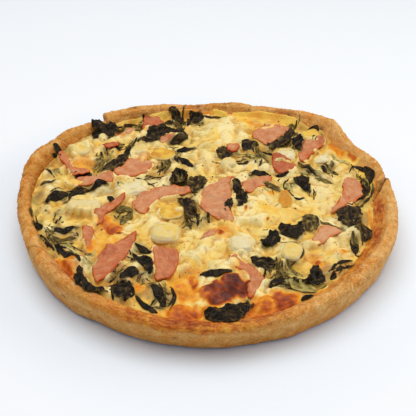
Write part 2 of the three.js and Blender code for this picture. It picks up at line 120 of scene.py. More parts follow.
# A node's points, each only once, and the three that each triangle joins.
def mergedTriangles(name):
    points = np.round(nodeTriangles(name).reshape(-1, 3), 3)
    points, corners = np.unique(points, axis=0, return_inverse=True)
    return points, corners.reshape(-1, 3)


# The highest upper face, or the lowest under face, of some nodes at every cell.
def heightMap(names, under=False):
    heights = np.full((cells, cells), np.inf if under else -np.inf)
    pick = np.minimum if under else np.maximum
    for a, b, c in np.concatenate([nodeTriangles(name) for name in names]):
        area = (b[0] - a[0]) * (c[1] - a[1]) - (b[1] - a[1]) * (c[0] - a[0])
        if abs(area) < 1e-4 or (area < 0) != under:
            continue
        near = window(*np.minimum(np.minimum(a, b), c)[:2], *np.maximum(np.maximum(a, b), c)[:2])
        x, y = planX[near], planY[near]
        u = ((b[0] - x) * (c[1] - y) - (b[1] - y) * (c[0] - x)) / area
        v = ((c[0] - x) * (a[1] - y) - (c[1] - y) * (a[0] - x)) / area
        w = 1 - u - v
        inside = (u > -0.01) & (v > -0.01) & (w > -0.01)
        here = heights[near]
        here[inside] = pick(here, u * a[2] + v * b[2] + w * c[2])[inside]
    return heights


# Meshes.

# One number or one linear colour for each vertex.
def setValues(mesh, label, numbers):
    numbers = np.asarray(numbers, np.float32)
    if numbers.ndim == 1:
        mesh.attributes.new(label, "FLOAT", "POINT").data.foreach_set("value", numbers)
    else:
        padded = np.column_stack([numbers, np.ones(len(numbers), np.float32)])
        mesh.attributes.new(label, "FLOAT_COLOR", "POINT").data.foreach_set("color", padded.ravel())


def makePiece(name, points, faces, material, slot, replaced, values=None):
    mesh = bpy.data.meshes.new(name)
    mesh.from_pydata((np.asarray(points) * metre).tolist(), [], [tuple(face) for face in faces])
    for label, numbers in (values or {}).items():
        setValues(mesh, label, numbers)
    mesh.materials.append(material)
    mesh.shade_smooth()
    mesh.update()
    piece = bpy.data.objects.new(name, mesh)
    bpy.context.scene.collection.objects.link(piece)
    piece["slot"], piece["replaced"] = slot, replaced
    return piece


def declarePiece(piece):
    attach(piece, "root")
    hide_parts(*piece["replaced"])


# Keeps the result of a piece's modifiers as its plain mesh.
def settleModifiers(piece):
    evaluated = piece.evaluated_get(bpy.context.evaluated_depsgraph_get())
    mesh = bpy.data.meshes.new_from_object(evaluated)
    piece.modifiers.clear()
    piece.data = mesh
    mesh.shade_smooth()


# Runs a node tree on a piece.
def applyTree(piece, tree, values):
    modifier = piece.modifiers.new(tree.name, "NODES")
    modifier.node_group = tree
    for item in tree.interface.items_tree:
        if item.in_out == "INPUT" and item.name in values:
            modifier[item.identifier] = values[item.name]
    settleModifiers(piece)
    return piece


def countFaces(pieces):
    return sum(len(piece.data.polygons) for piece in pieces)


# Node helpers.

def addNode(tree, kind, values=None, **settings):
    node = tree.nodes.new(kind)
    for label, setting in settings.items():
        setattr(node, label, setting)
    for socket, value in (values or {}).items():
        if isinstance(value, bpy.types.NodeSocket):
            tree.links.new(value, node.inputs[socket])
        else:
            node.inputs[socket].default_value = value
    return node


def maths(tree, operation, first, second=0.0, clamp=False):
    node = addNode(tree, "ShaderNodeMath", {0: first, 1: second}, operation=operation, use_clamp=clamp)
    return node.outputs[0]


# A source plus some others, each times its weight.
def addUp(tree, total, *others):
    for source, weight in others:
        total = maths(tree, "ADD", total, maths(tree, "MULTIPLY", source, weight))
    return total


def tint(red, green, blue):        # a screen colour, 0 to 255
    steps = [value / 255 for value in (red, green, blue)]
    return (*[s / 12.92 if s < 0.0405 else ((s + 0.055) / 1.055) ** 2.4 for s in steps], 1.0)


def ramp(tree, source, stops):
    node = addNode(tree, "ShaderNodeValToRGB", {0: source})
    elements = node.color_ramp.elements
    while len(elements) < len(stops):
        elements.new(0.5)
    for element, (place, colour) in zip(elements, stops):
        element.position = place
        element.color = tint(*colour)
    return node.outputs[0]


def mixTints(tree, share, first, second, blend="MIX"):
    node = addNode(tree, "ShaderNodeMix", {0: share, 6: first, 7: second}, data_type="RGBA",
                   blend_type=blend)
    return node.outputs[2]


def readValue(tree, name, kind="Fac"):
    return addNode(tree, "ShaderNodeAttribute", attribute_name=name).outputs[kind]


def objectPlace(tree):
    return addNode(tree, "ShaderNodeTexCoord").outputs["Object"]


# Noise of a given size, 0 to 1, over the piece's own place or another vector.
def grain(tree, size, detail=3.0, vector=None):
    texture = addNode(tree, "ShaderNodeTexNoise", {"Vector": vector or objectPlace(tree),
                      "Scale": 1 / (size * metre), "Detail": detail})
    return texture.outputs[0]


# The same noise about nought.
def clouds(tree, *settings):
    return maths(tree, "SUBTRACT", grain(tree, *settings), 0.5)


def bump(tree, height, distance, strength=1.0, before=None):
    values = {"Height": height, "Distance": distance * metre, "Strength": strength}
    if before is not None:
        values["Normal"] = before
    return addNode(tree, "ShaderNodeBump", values).outputs[0]


def startMaterial(name, roughness, subsurface=0.0, bleed=(1.0, 0.5, 0.25), reach=2.0, gloss=0.3):
    material = bpy.data.materials.new(name)
    material.use_nodes = True
    tree = material.node_tree
    shader = tree.nodes["Principled BSDF"]
    shader.inputs["Roughness"].default_value = roughness
    shader.inputs["Subsurface Weight"].default_value = subsurface
    shader.inputs["Subsurface Radius"].default_value = bleed
    shader.inputs["Subsurface Scale"].default_value = reach * metre
    shader.inputs["Specular IOR Level"].default_value = gloss
    return material, tree, shader


def setShader(tree, shader, **sources):
    for label, source in sources.items():
        tree.links.new(source, shader.inputs[label.replace("_", " ")])


# Geometry node trees.

def startTree(name, sizes):
    tree = bpy.data.node_groups.new(name, "GeometryNodeTree")
    tree.interface.new_socket("Geometry", in_out="INPUT", socket_type="NodeSocketGeometry")
    for label, value in sizes.items():
        socket = tree.interface.new_socket(label, in_out="INPUT", socket_type="NodeSocketFloat")
        socket.default_value = value
    tree.interface.new_socket("Seed", in_out="INPUT", socket_type="NodeSocketInt")
    tree.interface.new_socket("Material", in_out="INPUT", socket_type="NodeSocketMaterial")
    tree.interface.new_socket("Geometry", in_out="OUTPUT", socket_type="NodeSocketGeometry")
    return tree, addNode(tree, "NodeGroupInput").outputs


def endTree(tree, made, material):
    real = addNode(tree, "GeometryNodeRealizeInstances", {0: made})
    finished = addNode(tree, "GeometryNodeSetMaterial", {"Geometry": real.outputs[0], "Material": material})
    addNode(tree, "NodeGroupOutput", {0: finished.outputs[0]})


def treeNoise(tree, size, seed, detail):
    texture = addNode(tree, "ShaderNodeTexNoise", {"W": seed, "Detail": detail,
                      "Scale": maths(tree, "DIVIDE", 1.0, size)}, noise_dimensions="4D")
    return texture.outputs["Fac"]


# Moves each point along a direction by a distance.
def shiftPoints(tree, shape, direction, distance):
    push = addNode(tree, "ShaderNodeVectorMath", {0: direction, "Scale": distance}, operation="SCALE")
    moved = addNode(tree, "GeometryNodeSetPosition", {"Geometry": shape, "Offset": push.outputs[0]})
    return moved.outputs[0]


def randomSize(tree, low, high, seed):
    return addNode(tree, "FunctionNodeRandomValue", {2: low, 3: high, "Seed": seed}).outputs[1]


# Pushes a surface in and out along its normal: lumps, finer grain and sharp crumbs.
def buildReliefTree():
    tree, given = startTree("bakedRelief", {"Lump Height": 0.0, "Lump Size": 0.005, "Grain Height": 0.0,
                                            "Grain Size": 0.001, "Crumb Height": 0.0, "Crumb Size": 0.002})
    mask = addNode(tree, "GeometryNodeInputNamedAttribute", {"Name": "relief"}, data_type="FLOAT")
    total = 0.0
    for layer, detail in (("Lump", 2.0), ("Grain", 3.0)):
        hills = maths(tree, "SUBTRACT", treeNoise(tree, given[layer + " Size"], given["Seed"], detail), 0.5)
        total = maths(tree, "MULTIPLY_ADD", hills, maths(tree, "MULTIPLY", given[layer + " Height"], 2.0))
        total.node.inputs[2].default_value = 0.0
        if layer == "Lump":
            lumps = total
    crumbs = addNode(tree, "ShaderNodeTexVoronoi", {"W": given["Seed"],
                     "Scale": maths(tree, "DIVIDE", 1.0, given["Crumb Size"])}, voronoi_dimensions="4D")
    sharp = maths(tree, "SUBTRACT", 0.5, crumbs.outputs["Distance"])
    rise = addUp(tree, maths(tree, "ADD", lumps, total), (sharp, given["Crumb Height"]))
    rise = maths(tree, "MULTIPLY", rise, mask.outputs["Attribute"])
    moved = shiftPoints(tree, given["Geometry"], addNode(tree, "GeometryNodeInputNormal").outputs[0], rise)
    endTree(tree, moved, given["Material"])
    return tree


# Scatters small flat irregular bits over the parts of a surface that a mask allows.
def buildScatterTree():
    tree, given = startTree("scatteredBits", {"Bits per Area": 1e4, "Bit Length": 0.001, "Flatness": 0.3,
                                              "Sink": 0.0})
    mask = addNode(tree, "GeometryNodeInputNamedAttribute", {"Name": "speckle"}, data_type="FLOAT")
    density = maths(tree, "MULTIPLY", mask.outputs["Attribute"], given["Bits per Area"])
    points = addNode(tree, "GeometryNodeDistributePointsOnFaces", {"Mesh": given["Geometry"],
                     "Density": density, "Seed": given["Seed"]})
    ball = addNode(tree, "GeometryNodeMeshIcoSphere", {"Radius": 0.5, "Subdivisions": 2})
    turned = addNode(tree, "FunctionNodeRandomValue", {"Min": (0, 0, 0), "Max": (0.3, 0.3, 6.28),
                     "Seed": given["Seed"]}, data_type="FLOAT_VECTOR")
    facing = addNode(tree, "FunctionNodeRotateRotation", {"Rotation": points.outputs["Rotation"],
                     "Rotate By": turned.outputs[0]}, rotation_space="LOCAL")
    length = maths(tree, "MULTIPLY", randomSize(tree, 0.45, 1.3, given["Seed"]), given["Bit Length"])
    width = maths(tree, "MULTIPLY", length, randomSize(tree, 0.3, 0.9, given["Seed"]))
    shape = addNode(tree, "ShaderNodeCombineXYZ", {0: length, 1: width,
                    2: maths(tree, "MULTIPLY", width, given["Flatness"])})
    placed = addNode(tree, "GeometryNodeInstanceOnPoints", {"Points": points.outputs[0],
                     "Instance": ball.outputs[0], "Rotation": facing.outputs[0], "Scale": shape.outputs[0]})
    sink = addNode(tree, "ShaderNodeCombineXYZ", {2: maths(tree, "MULTIPLY", given["Sink"], -1.0)})
    lowered = addNode(tree, "GeometryNodeTranslateInstances", {"Instances": placed.outputs[0],
                      "Translation": sink.outputs[0]})
    real = addNode(tree, "GeometryNodeRealizeInstances", {0: lowered.outputs[0]})
    bent = addNode(tree, "ShaderNodeTexNoise", {"Scale": 1500.0, "Detail": 1.0})        # ragged outlines
    shift = addNode(tree, "ShaderNodeVectorMath", {0: bent.outputs["Color"], 1: (0.5, 0.5, 0.5)},
                    operation="SUBTRACT")
    far = maths(tree, "MULTIPLY", given["Bit Length"], 0.6)
    moved = shiftPoints(tree, real.outputs[0], shift.outputs[0], far)
    endTree(tree, moved, given["Material"])
    return tree


reliefTree = buildReliefTree()
scatterTree = buildScatterTree()


# Gives a piece relief, with its sizes in millimetres.
def carveRelief(piece, relief, seed):
    sizes = {label: size * metre for label, size in relief.items()}
    return applyTree(piece, reliefTree, {**sizes, "Seed": seed, "Material": piece.data.materials[0]})


# What lies where.

def named(kind):
    return sorted(name for name in nodes if name.startswith(kind))


hamNames, leafNames = named("ham_"), named("leaf_")
chunkNames = named("potato_") + named("onion_")

custardTop = heightMap(["custard"])
custardMask = np.isfinite(custardTop)
plainTop = blurMap(spreadMap(custardTop, custardMask, 3.0), 1.2)
covers = {}
for kind, names in (("ham", hamNames), ("leaf", leafNames), ("chunk", chunkNames)):
    top, under = heightMap(names), heightMap(names, under=True)
    mask = np.isfinite(top) & np.isfinite(under)
    covers[kind] = {"mask": mask, "top": spreadMap(top, mask, 2.0), "under": spreadMap(under, mask, 2.0)}
print("maps drawn")


# Crust.

crust = {
    # The section starts under the foot, goes up outside and ends inside, a given length on.
    "sectors": 1080, "rows": 88, "sectionLength": 58, "rimRadius": 130, "base": 4.0,
    # It is read off by rays from a ring inside the crust, over a range of tilts.
    "castSectors": 240, "castRays": 190, "castTilts": (-97, 196), "heart": 14.0,
    # Relief: the height and the size of each kind; kneading has a finer size too.
    "lumps": (0.6, 15.0), "crumb": (0.2, 1.3), "layers": (0.16, 1.6), "plates": (0.4, 7.0),
    "kneading": (0.42, 5.0, 2.6), "creases": 120, "creaseSeed": 3, "reliefSeed": 5,
    "relief": {"Lump Height": 0.2, "Lump Size": 3.2, "Grain Height": 0.26, "Grain Size": 1.1,
               "Crumb Height": 0.3, "Crumb Size": 2.0},
    # Glazed inside the rim and over its crest: the middle angle and the reach of each.
    "glazedInside": (340, 45), "glazedCrest": (264, 27),
    # How much darker each part is painted. The crest and the inner side are baked darker; the rest is
    # painted light and shade: darker in the hollows of the kneading and paler on its bumps, paler on the
    # lips beside the creases, darker towards the foot where it meets the floor, and darker on the left of
    # the top.
    "bake": {"all": 0.35, "crest": 0.05, "inner": 0.01, "kneaded": -0.12, "paintedFoldLight": -0.3,
             "left": 0.04, "foot": 0.5},
    # Where the strip of pastry overlaps or has torn: angle, slant, step, groove, width, lobe beside it.
    "seams": [
        (155, -0.55, 1.5, 0.9, 0.9, 0), (132, 0.1, -0.6, 1.4, 0.8, 0), (12.2, -1.35, -2.2, 3.4, 1.1, 6.0),
        (74, 0.2, 0.2, 0.3, 0.8, 0), (176, -0.2, 0.5, 0.7, 0.8, 0), (-150, 0.6, 0.3, 0.4, 0.9, 0),
    ],
    # Patches: angle, share of the way along the section, half width, half height, strength.
    # Baked darker. The long one low on the front wall (-90) is painted shade; those along the foot of the
    # inner slope on the left (170) and in the inner corner at the back right (50) are browning and painted
    # shade both.
    "toasted": [
        (14, 0.64, 14, 7, 0.12), (185, 0.25, 70, 14, 0.09), (-90, 0.18, 120, 10, 0.18),
        (50, 0.84, 14, 5, 0.4), (86, 0.64, 14, 6, 0.2), (-168, 0.58, 9, 8, 0.15), (170, 0.88, 75, 9, 0.5),
        (88, 0.45, 10, 6, 0.12), (170, 0.6, 6, 4, 0.2), (163, 0.5, 5, 4, 0.18), (-177, 0.54, 5, 4, 0.15),
    ],
    # Swollen outwards, in millimetres.
    "swellings": [(24, 0.42, 9, 13, 2.8), (40, 0.45, 12, 14, 1.2), (140, 0.5, 9, 6, 0.7)],
    # Where filling has boiled over and baked on.
    "spills": [
        (-95, 0.68, 17, 6, 0.9), (-109, 0.62, 9, 3, 0.6), (-73, 0.7, 15, 5, 0.75), (-4, 0.75, 11, 3.6, 0.9),
        (-19, 0.75, 13, 3.6, 0.8), (-136, 0.7, 14, 4.5, 0.5), (62, 0.68, 9, 4, 0.5), (97, 0.66, 9, 3, 0.6),
        (-40, 0.66, 10, 3, 0.4), (178, 0.7, 8, 3, 0.4),
    ],
    # The torn end beside the gap stands up and out: angle, reach round, outwards, upwards.
    "tornEnd": (132, 4.5, 4.2, 3.2),
    # Dark baked spots on the rim: angle, share of the way along the section, size.
    "scorched": [
        (150, 0.55, 1.7), (-151, 0.42, 1.8), (-131, 0.36, 1.6), (168, 0.5, 2.2), (176, 0.56, 2.0),
        (-163, 0.34, 1.3), (7.2, 0.43, 1.5), (60, 0.7, 2.5), (95, 0.66, 2.2), (-97, 0.33, 1.4),
        (120, 0.62, 2.0), (46, 0.76, 3.2), (186, 0.6, 1.6),
    ],
}


def turnFrom(degrees, angle):
    return (degrees - angle + 180) % 360 - 180


# How far away each angle is round the rim, in millimetres.
def roundRim(degrees, angle):
    return turnFrom(degrees, angle) * math.pi / 180 * crust["rimRadius"]


def smoothRound(table, times):
    for _ in range(times):
        table = (np.roll(table, 1, 0) + 2 * table + np.roll(table, -1, 0)) / 4
    return table


# The crust's sections as radius and height, read off the node by rays from inside it.
def castSections():
    triangles = nodeTriangles("crust")
    corners = np.arange(len(triangles) * 3).reshape(-1, 3)
    tree = BVHTree.FromPolygons(triangles.reshape(-1, 3).tolist(), corners.tolist())
    angles = np.arange(crust["castSectors"]) * 2 * math.pi / crust["castSectors"]
    outwards = [Vector((math.cos(angle), math.sin(angle), 0)) for angle in angles]
    centre = Vector((0, 0, crust["heart"]))
    heart = []
    for outward in outwards:
        outer = tree.ray_cast(outward * 200 + centre, -outward)[0]
        inner = tree.ray_cast(centre, outward)[0]
        heart.append((outer.xy.length + inner.xy.length) / 2)
    heart = smoothRound(np.array(heart), 3)
    turn = np.linspace(*np.radians(crust["castTilts"]), crust["castRays"])
    reach = np.array([[tree.ray_cast(outward * middle + centre,
                                     outward * math.cos(tilt) + Vector((0, 0, math.sin(tilt))))[3]
                       for tilt in turn] for outward, middle in zip(outwards, heart)])
    reach = smoothRound(reach, 2)
    for _ in range(2):
        reach[:, 1:-1] = (reach[:, :-2] + 2 * reach[:, 1:-1] + reach[:, 2:]) / 4
    return heart[:, None] + reach * np.cos(turn), crust["heart"] + reach * np.sin(turn)


def pastryMaterial():
    material, tree, shader = startMaterial("bakedPastry", 0.62, 0.05, (1.0, 0.45, 0.2), 1.2, 0.15)
    bake, glaze, scorchAndSeamShade, spill = (readValue(tree, label) for label in ("bake", "glaze", "scorchAndSeamShade", "spill"))
    blotch, fine = clouds(tree, 6.0, 4.0), clouds(tree, 1.2, 4.0)
    layers = clouds(tree, 1.3, 5.0, readValue(tree, "flow", "Vector"))
    tone = addUp(tree, bake, (blotch, 0.6), (fine, 0.55), (layers, 0.3))
    base = ramp(tree, tone, [(0.0, (250, 214, 150)), (0.25, (234, 182, 110)), (0.5, (210, 150, 72)),
                             (0.7, (188, 122, 44)), (0.9, (156, 88, 28)), (1.0, (116, 58, 22))])
    toasted = ramp(tree, grain(tree, 9.0, 3.0), [(0.5, (255, 255, 255)), (0.66, (255, 232, 196))])
    base = mixTints(tree, 1.0, base, toasted, "MULTIPLY")
    shine = addUp(tree, maths(tree, "ADD", 0.52, blotch), (layers, 0.9))
    shine = ramp(tree, shine, [(0.25, (142, 60, 12)), (0.42, (198, 104, 20)), (0.58, (224, 142, 36)),
                               (0.78, (244, 190, 84))])
    base = mixTints(tree, maths(tree, "MULTIPLY", glaze, 0.9), base, shine)
    boiled = maths(tree, "ADD", maths(tree, "MULTIPLY", spill, 1.2), fine, clamp=True)
    boiled = maths(tree, "MULTIPLY", boiled, maths(tree, "GREATER_THAN", spill, 0.02))
    base = mixTints(tree, boiled, base, ramp(tree, maths(tree, "ADD", layers, 0.5), [
        (0.3, (122, 48, 16)), (0.5, (176, 84, 28)), (0.75, (220, 134, 58))]))
    base = mixTints(tree, scorchAndSeamShade, base, tint(92, 46, 26))
    pits = addNode(tree, "ShaderNodeTexVoronoi", {"Vector": objectPlace(tree), "Scale": 1 / (1.2 * metre)})
    pits = pits.outputs["Distance"]
    speck = ramp(tree, pits, [(0.0, (255, 255, 255)), (0.45, (255, 244, 226)), (0.8, (180, 128, 80))])
    base = mixTints(tree, 0.28, base, speck, "MULTIPLY")
    rough = maths(tree, "SUBTRACT", 0.68, maths(tree, "MULTIPLY", glaze, 0.32))
    coarse = bump(tree, maths(tree, "SUBTRACT", layers, pits), 0.45, 0.6)
    setShader(tree, shader, Base_Color=base, Roughness=rough,
              Normal=bump(tree, grain(tree, 0.8, 4.0), 0.3, 0.7, coarse))
    return material


# The cast sections at even steps along each and round the crust, as radius and height.
def evenSections(angles, share):
    castRadius, castHeight = castSections()
    stepLength = np.hypot(np.diff(castRadius, axis=1), np.diff(castHeight, axis=1))
    travelled = np.concatenate([np.zeros((len(castRadius), 1)), np.cumsum(stepLength, axis=1)], 1)
    even = np.array([[np.interp(share * line[-1], line, side[i]) for side in (castRadius, castHeight)]
                     for i, line in enumerate(travelled)])
    coarse = np.arange(len(even) + 1) * 2 * math.pi / len(even)
    around = np.concatenate([even, even[:1]])
    return (np.array([np.interp(angles, coarse, around[:, side, row]) for row in range(len(share))]).T
            for side in (0, 1))


# Noise over the sections: the kneading, and a push outwards for lumps, crumb, layers and plates.
def pastryNoise(radius, height, angles, share):
    kneaded, push = np.zeros_like(radius), np.zeros_like(radius)
    (lumps, lumpSize), (crumb, crumbSize) = crust["lumps"], crust["crumb"]
    (layers, layerSize), (plates, plateSize) = crust["layers"], crust["plates"]
    _, broad, fine = crust["kneading"]
    for i, angle in enumerate(angles):
        c, s = math.cos(angle), math.sin(angle)
        for j, along in enumerate(share):
            spot = Vector((radius[i, j] * c, radius[i, j] * s, height[i, j]))
            kneaded[i, j] = noise.noise(spot / broad) + 0.5 * noise.noise(spot / fine)
            layer = Vector((spot.x / 7, spot.y / 7, crust["sectionLength"] * along / layerSize))
            push[i, j] = (lumps * noise.noise(spot / lumpSize) + crumb * noise.noise(spot / crumbSize)
                          + layers * noise.noise(layer))
            edge = noise.noise(spot / plateSize + Vector((0, 0, 9)))
            push[i, j] += plates * min(max(edge / 0.08, -0.5), 0.5) * math.exp(-abs(edge) * 5)
    return kneaded, push


# Adds the seams, creases, scorched spots, swellings and spills to the sections' tables.
def markCrust(degrees, share, kneaded, push):
    length = crust["sectionLength"] * share
    upper = smoothStep(share, 0.3, 0.45)
    scorchAndSeamShade, paintedFoldLight, spill, toastAndShade = (np.zeros_like(push) for _ in range(4))
    for angle, slant, step, groove, width, lobe in crust["seams"]:
        across = roundRim(degrees, angle) - slant * (length - crust["sectionLength"] / 2)
        shape = smoothStep(across, -width, width) * np.exp(-np.maximum(across, 0) / 12)
        push += step * shape * upper - groove * np.exp(-(across / width) ** 2) * upper
        # The seam's groove is painted darker, as browning and as painted shade in it.
        scorchAndSeamShade += (0.3 + 0.18 * groove) * np.exp(-(across / (width * 1.1)) ** 2) * upper
        bulge = smoothStep(across, -0.6, 1.2) * np.exp(-((across - 3) / 5) ** 2)
        push += lobe * bulge * np.exp(-((length - 38.5) / 4.0) ** 2)
    random = np.random.default_rng(crust["creaseSeed"])
    for _ in range(crust["creases"]):
        angle, centre = random.uniform(0, 360), random.uniform(0.16, 0.85)
        slant, depth, extent = random.uniform(-1.2, 1.2), random.uniform(0.25, 0.8), random.uniform(2.0, 6)
        along = crust["sectionLength"] * (share - centre)
        across = roundRim(degrees, angle) - slant * along + 0.15 * along ** 2 * math.copysign(1, slant)
        reach = depth * np.exp(-(along / extent) ** 2)
        fold = np.exp(-((across - 1.1) / 0.8) ** 2)
        push += reach * (0.5 * fold - np.exp(-(across / 0.5) ** 2))
        # Painted highlight on the lip beside each crease and painted shade in the crease itself.
        paintedFoldLight += reach * (fold - 1.3 * np.exp(-(across / 0.6) ** 2))
    for angle, centre, spot in crust["scorched"]:
        far = np.hypot(roundRim(degrees, angle), crust["sectionLength"] * (share - centre)) / spot
        scorchAndSeamShade += 0.75 * np.exp(-far ** 2 * (1 + 0.6 * kneaded))
        push -= 0.3 * np.exp(-far ** 2)
    for label, total in (("swellings", push), ("spills", spill), ("toasted", toastAndShade)):
        for angle, centre, halfWidth, halfHeight, strength in crust[label]:
            far = np.hypot(roundRim(degrees, angle) / halfWidth,
                           crust["sectionLength"] * (share - centre) / halfHeight)
            total += strength * np.exp(-far ** 2 * (1 + (0.8 * kneaded if label == "spills" else 0)))
    return scorchAndSeamShade, paintedFoldLight, spill, toastAndShade


# The torn end beside the gap stands up and out.
def raiseTornEnd(radius, height, degrees, share):
    edge, extent, outwards, upwards = crust["tornEnd"]
    short = edge - degrees
    stands = smoothStep(short, -0.3, 0.5) * np.exp(-(short / extent) ** 2) * (np.abs(short) < 30)
    radius += outwards * stands * smoothStep(share, 0.1, 0.35) * smoothStep(-share, -0.8, -0.55)
    height += upwards * stands * smoothStep(share, 0.25, 0.45) * smoothStep(-share, -0.85, -0.6)


# Quads round the sections, closed by a fan under the base and one on top of it.
def crustFaces(sectors, rows):
    i, j = np.arange(sectors)[:, None], np.arange(rows - 1)[None, :]
    a, b = i * rows + j, ((i + 1) % sectors) * rows + j
    faces = np.stack([a, b, b + 1, a + 1], -1).reshape(-1, 4).tolist()
    first = np.arange(sectors) * rows
    last = first + rows - 1
    under, inside = (np.full(sectors, sectors * rows + k) for k in (0, 1))
    faces += np.stack([under, np.roll(first, -1), first], 1).tolist()
    faces += np.stack([last, np.roll(last, -1), inside], 1).tolist()
    return faces


def buildCrust():
    sectors, rows = crust["sectors"], crust["rows"]
    angles, share = np.arange(sectors) * 2 * math.pi / sectors, np.linspace(0, 1, rows)
    degrees = np.degrees(angles)[:, None]
    radius, height = evenSections(angles, share)
    alongR, alongZ = np.gradient(radius, axis=1), np.gradient(height, axis=1)
    size = np.hypot(alongR, alongZ)
    kneaded, push = pastryNoise(radius, height, angles, share)
    share = share[None, :]
    topside = smoothStep(share, 0.36, 0.48) * np.ones_like(radius)
    push += crust["kneading"][0] * kneaded * (0.3 + 0.7 * topside)
    scorchAndSeamShade, paintedFoldLight, spill, toastAndShade = markCrust(degrees, share, kneaded, push)
    radius = radius + alongZ / size * push        # outwards in each section
    height = np.maximum(height - alongR / size * push, 0)
    raiseTornEnd(radius, height, degrees, share)
    inner = smoothStep(share, 0.6, 0.8)
    crest = np.exp(-((share - 0.52) / 0.1) ** 2)
    left = np.cos(np.radians(degrees - 185))
    amount = crust["bake"]
    # Painted light and shade in the bake: the kneading's hollows darker and its bumps paler, the crease
    # lips paler, the foot and the left of the top darker.
    bake = (amount["all"] + amount["crest"] * crest + amount["inner"] * inner
            + amount["kneaded"] * kneaded * topside + amount["paintedFoldLight"] * paintedFoldLight + toastAndShade
            + amount["left"] * left * topside + amount["foot"] * (1 - smoothStep(height, 0.3, 3.5)))
    (middle, reach), (crestMiddle, crestReach) = crust["glazedInside"], crust["glazedCrest"]
    glaze = smoothStep(share + 0.03 * kneaded, 0.65, 0.73)
    glaze = glaze * np.clip(1.1 * np.exp(-(turnFrom(degrees, middle) / reach) ** 2), 0, 1)
    over = np.exp(-(np.abs(turnFrom(degrees, crestMiddle)) / crestReach) ** 4)
    glaze = np.maximum(glaze, over * smoothStep(share + 0.05 * kneaded, 0.47, 0.55))

    def withMiddles(table, value=0.0):        # adds the two middles of the base
        return np.append((table * np.ones_like(radius)).ravel(), [value, value])

    points = np.stack([withMiddles(radius * np.cos(angles)[:, None]),
                       withMiddles(radius * np.sin(angles)[:, None]), withMiddles(height)], 1)
    points[-1, 2] = crust["base"]
    length = withMiddles(crust["sectionLength"] * share)
    values = {
        "bake": withMiddles(bake, 0.4), "glaze": withMiddles(glaze), "spill": withMiddles(spill),
        "scorchAndSeamShade": np.clip(withMiddles(scorchAndSeamShade), 0, 1),
        "flow": np.column_stack([points[:, 0] / 3.5, points[:, 1] / 3.5, length]) * metre,
        "relief": withMiddles(smoothStep(height, 0.5, 3) * (0.4 + 0.6 * topside)),
        "speckle": withMiddles(topside * (1 - inner))}
    made = makePiece("pastryCrust", points, crustFaces(sectors, rows), pastryMaterial(), "crust", ["crust"],
                     values)
    # The upper side's height at each angle and reach, for what clings to it.
    upper = int(0.62 * rows)
    table = [np.interp(crustReach, np.maximum.accumulate(line[:upper]), rise[:upper], left=-99, right=-99)
             for line, rise in zip(radius[:, ::-1], height[:, ::-1])]
    return made, np.array(table)


crustReach = np.arange(108, 142, 0.25)
pastry, crustTable = buildCrust()
carveRelief(pastry, crust["relief"], crust["reliefSeed"])
print("crust:", countFaces([pastry]), "faces")
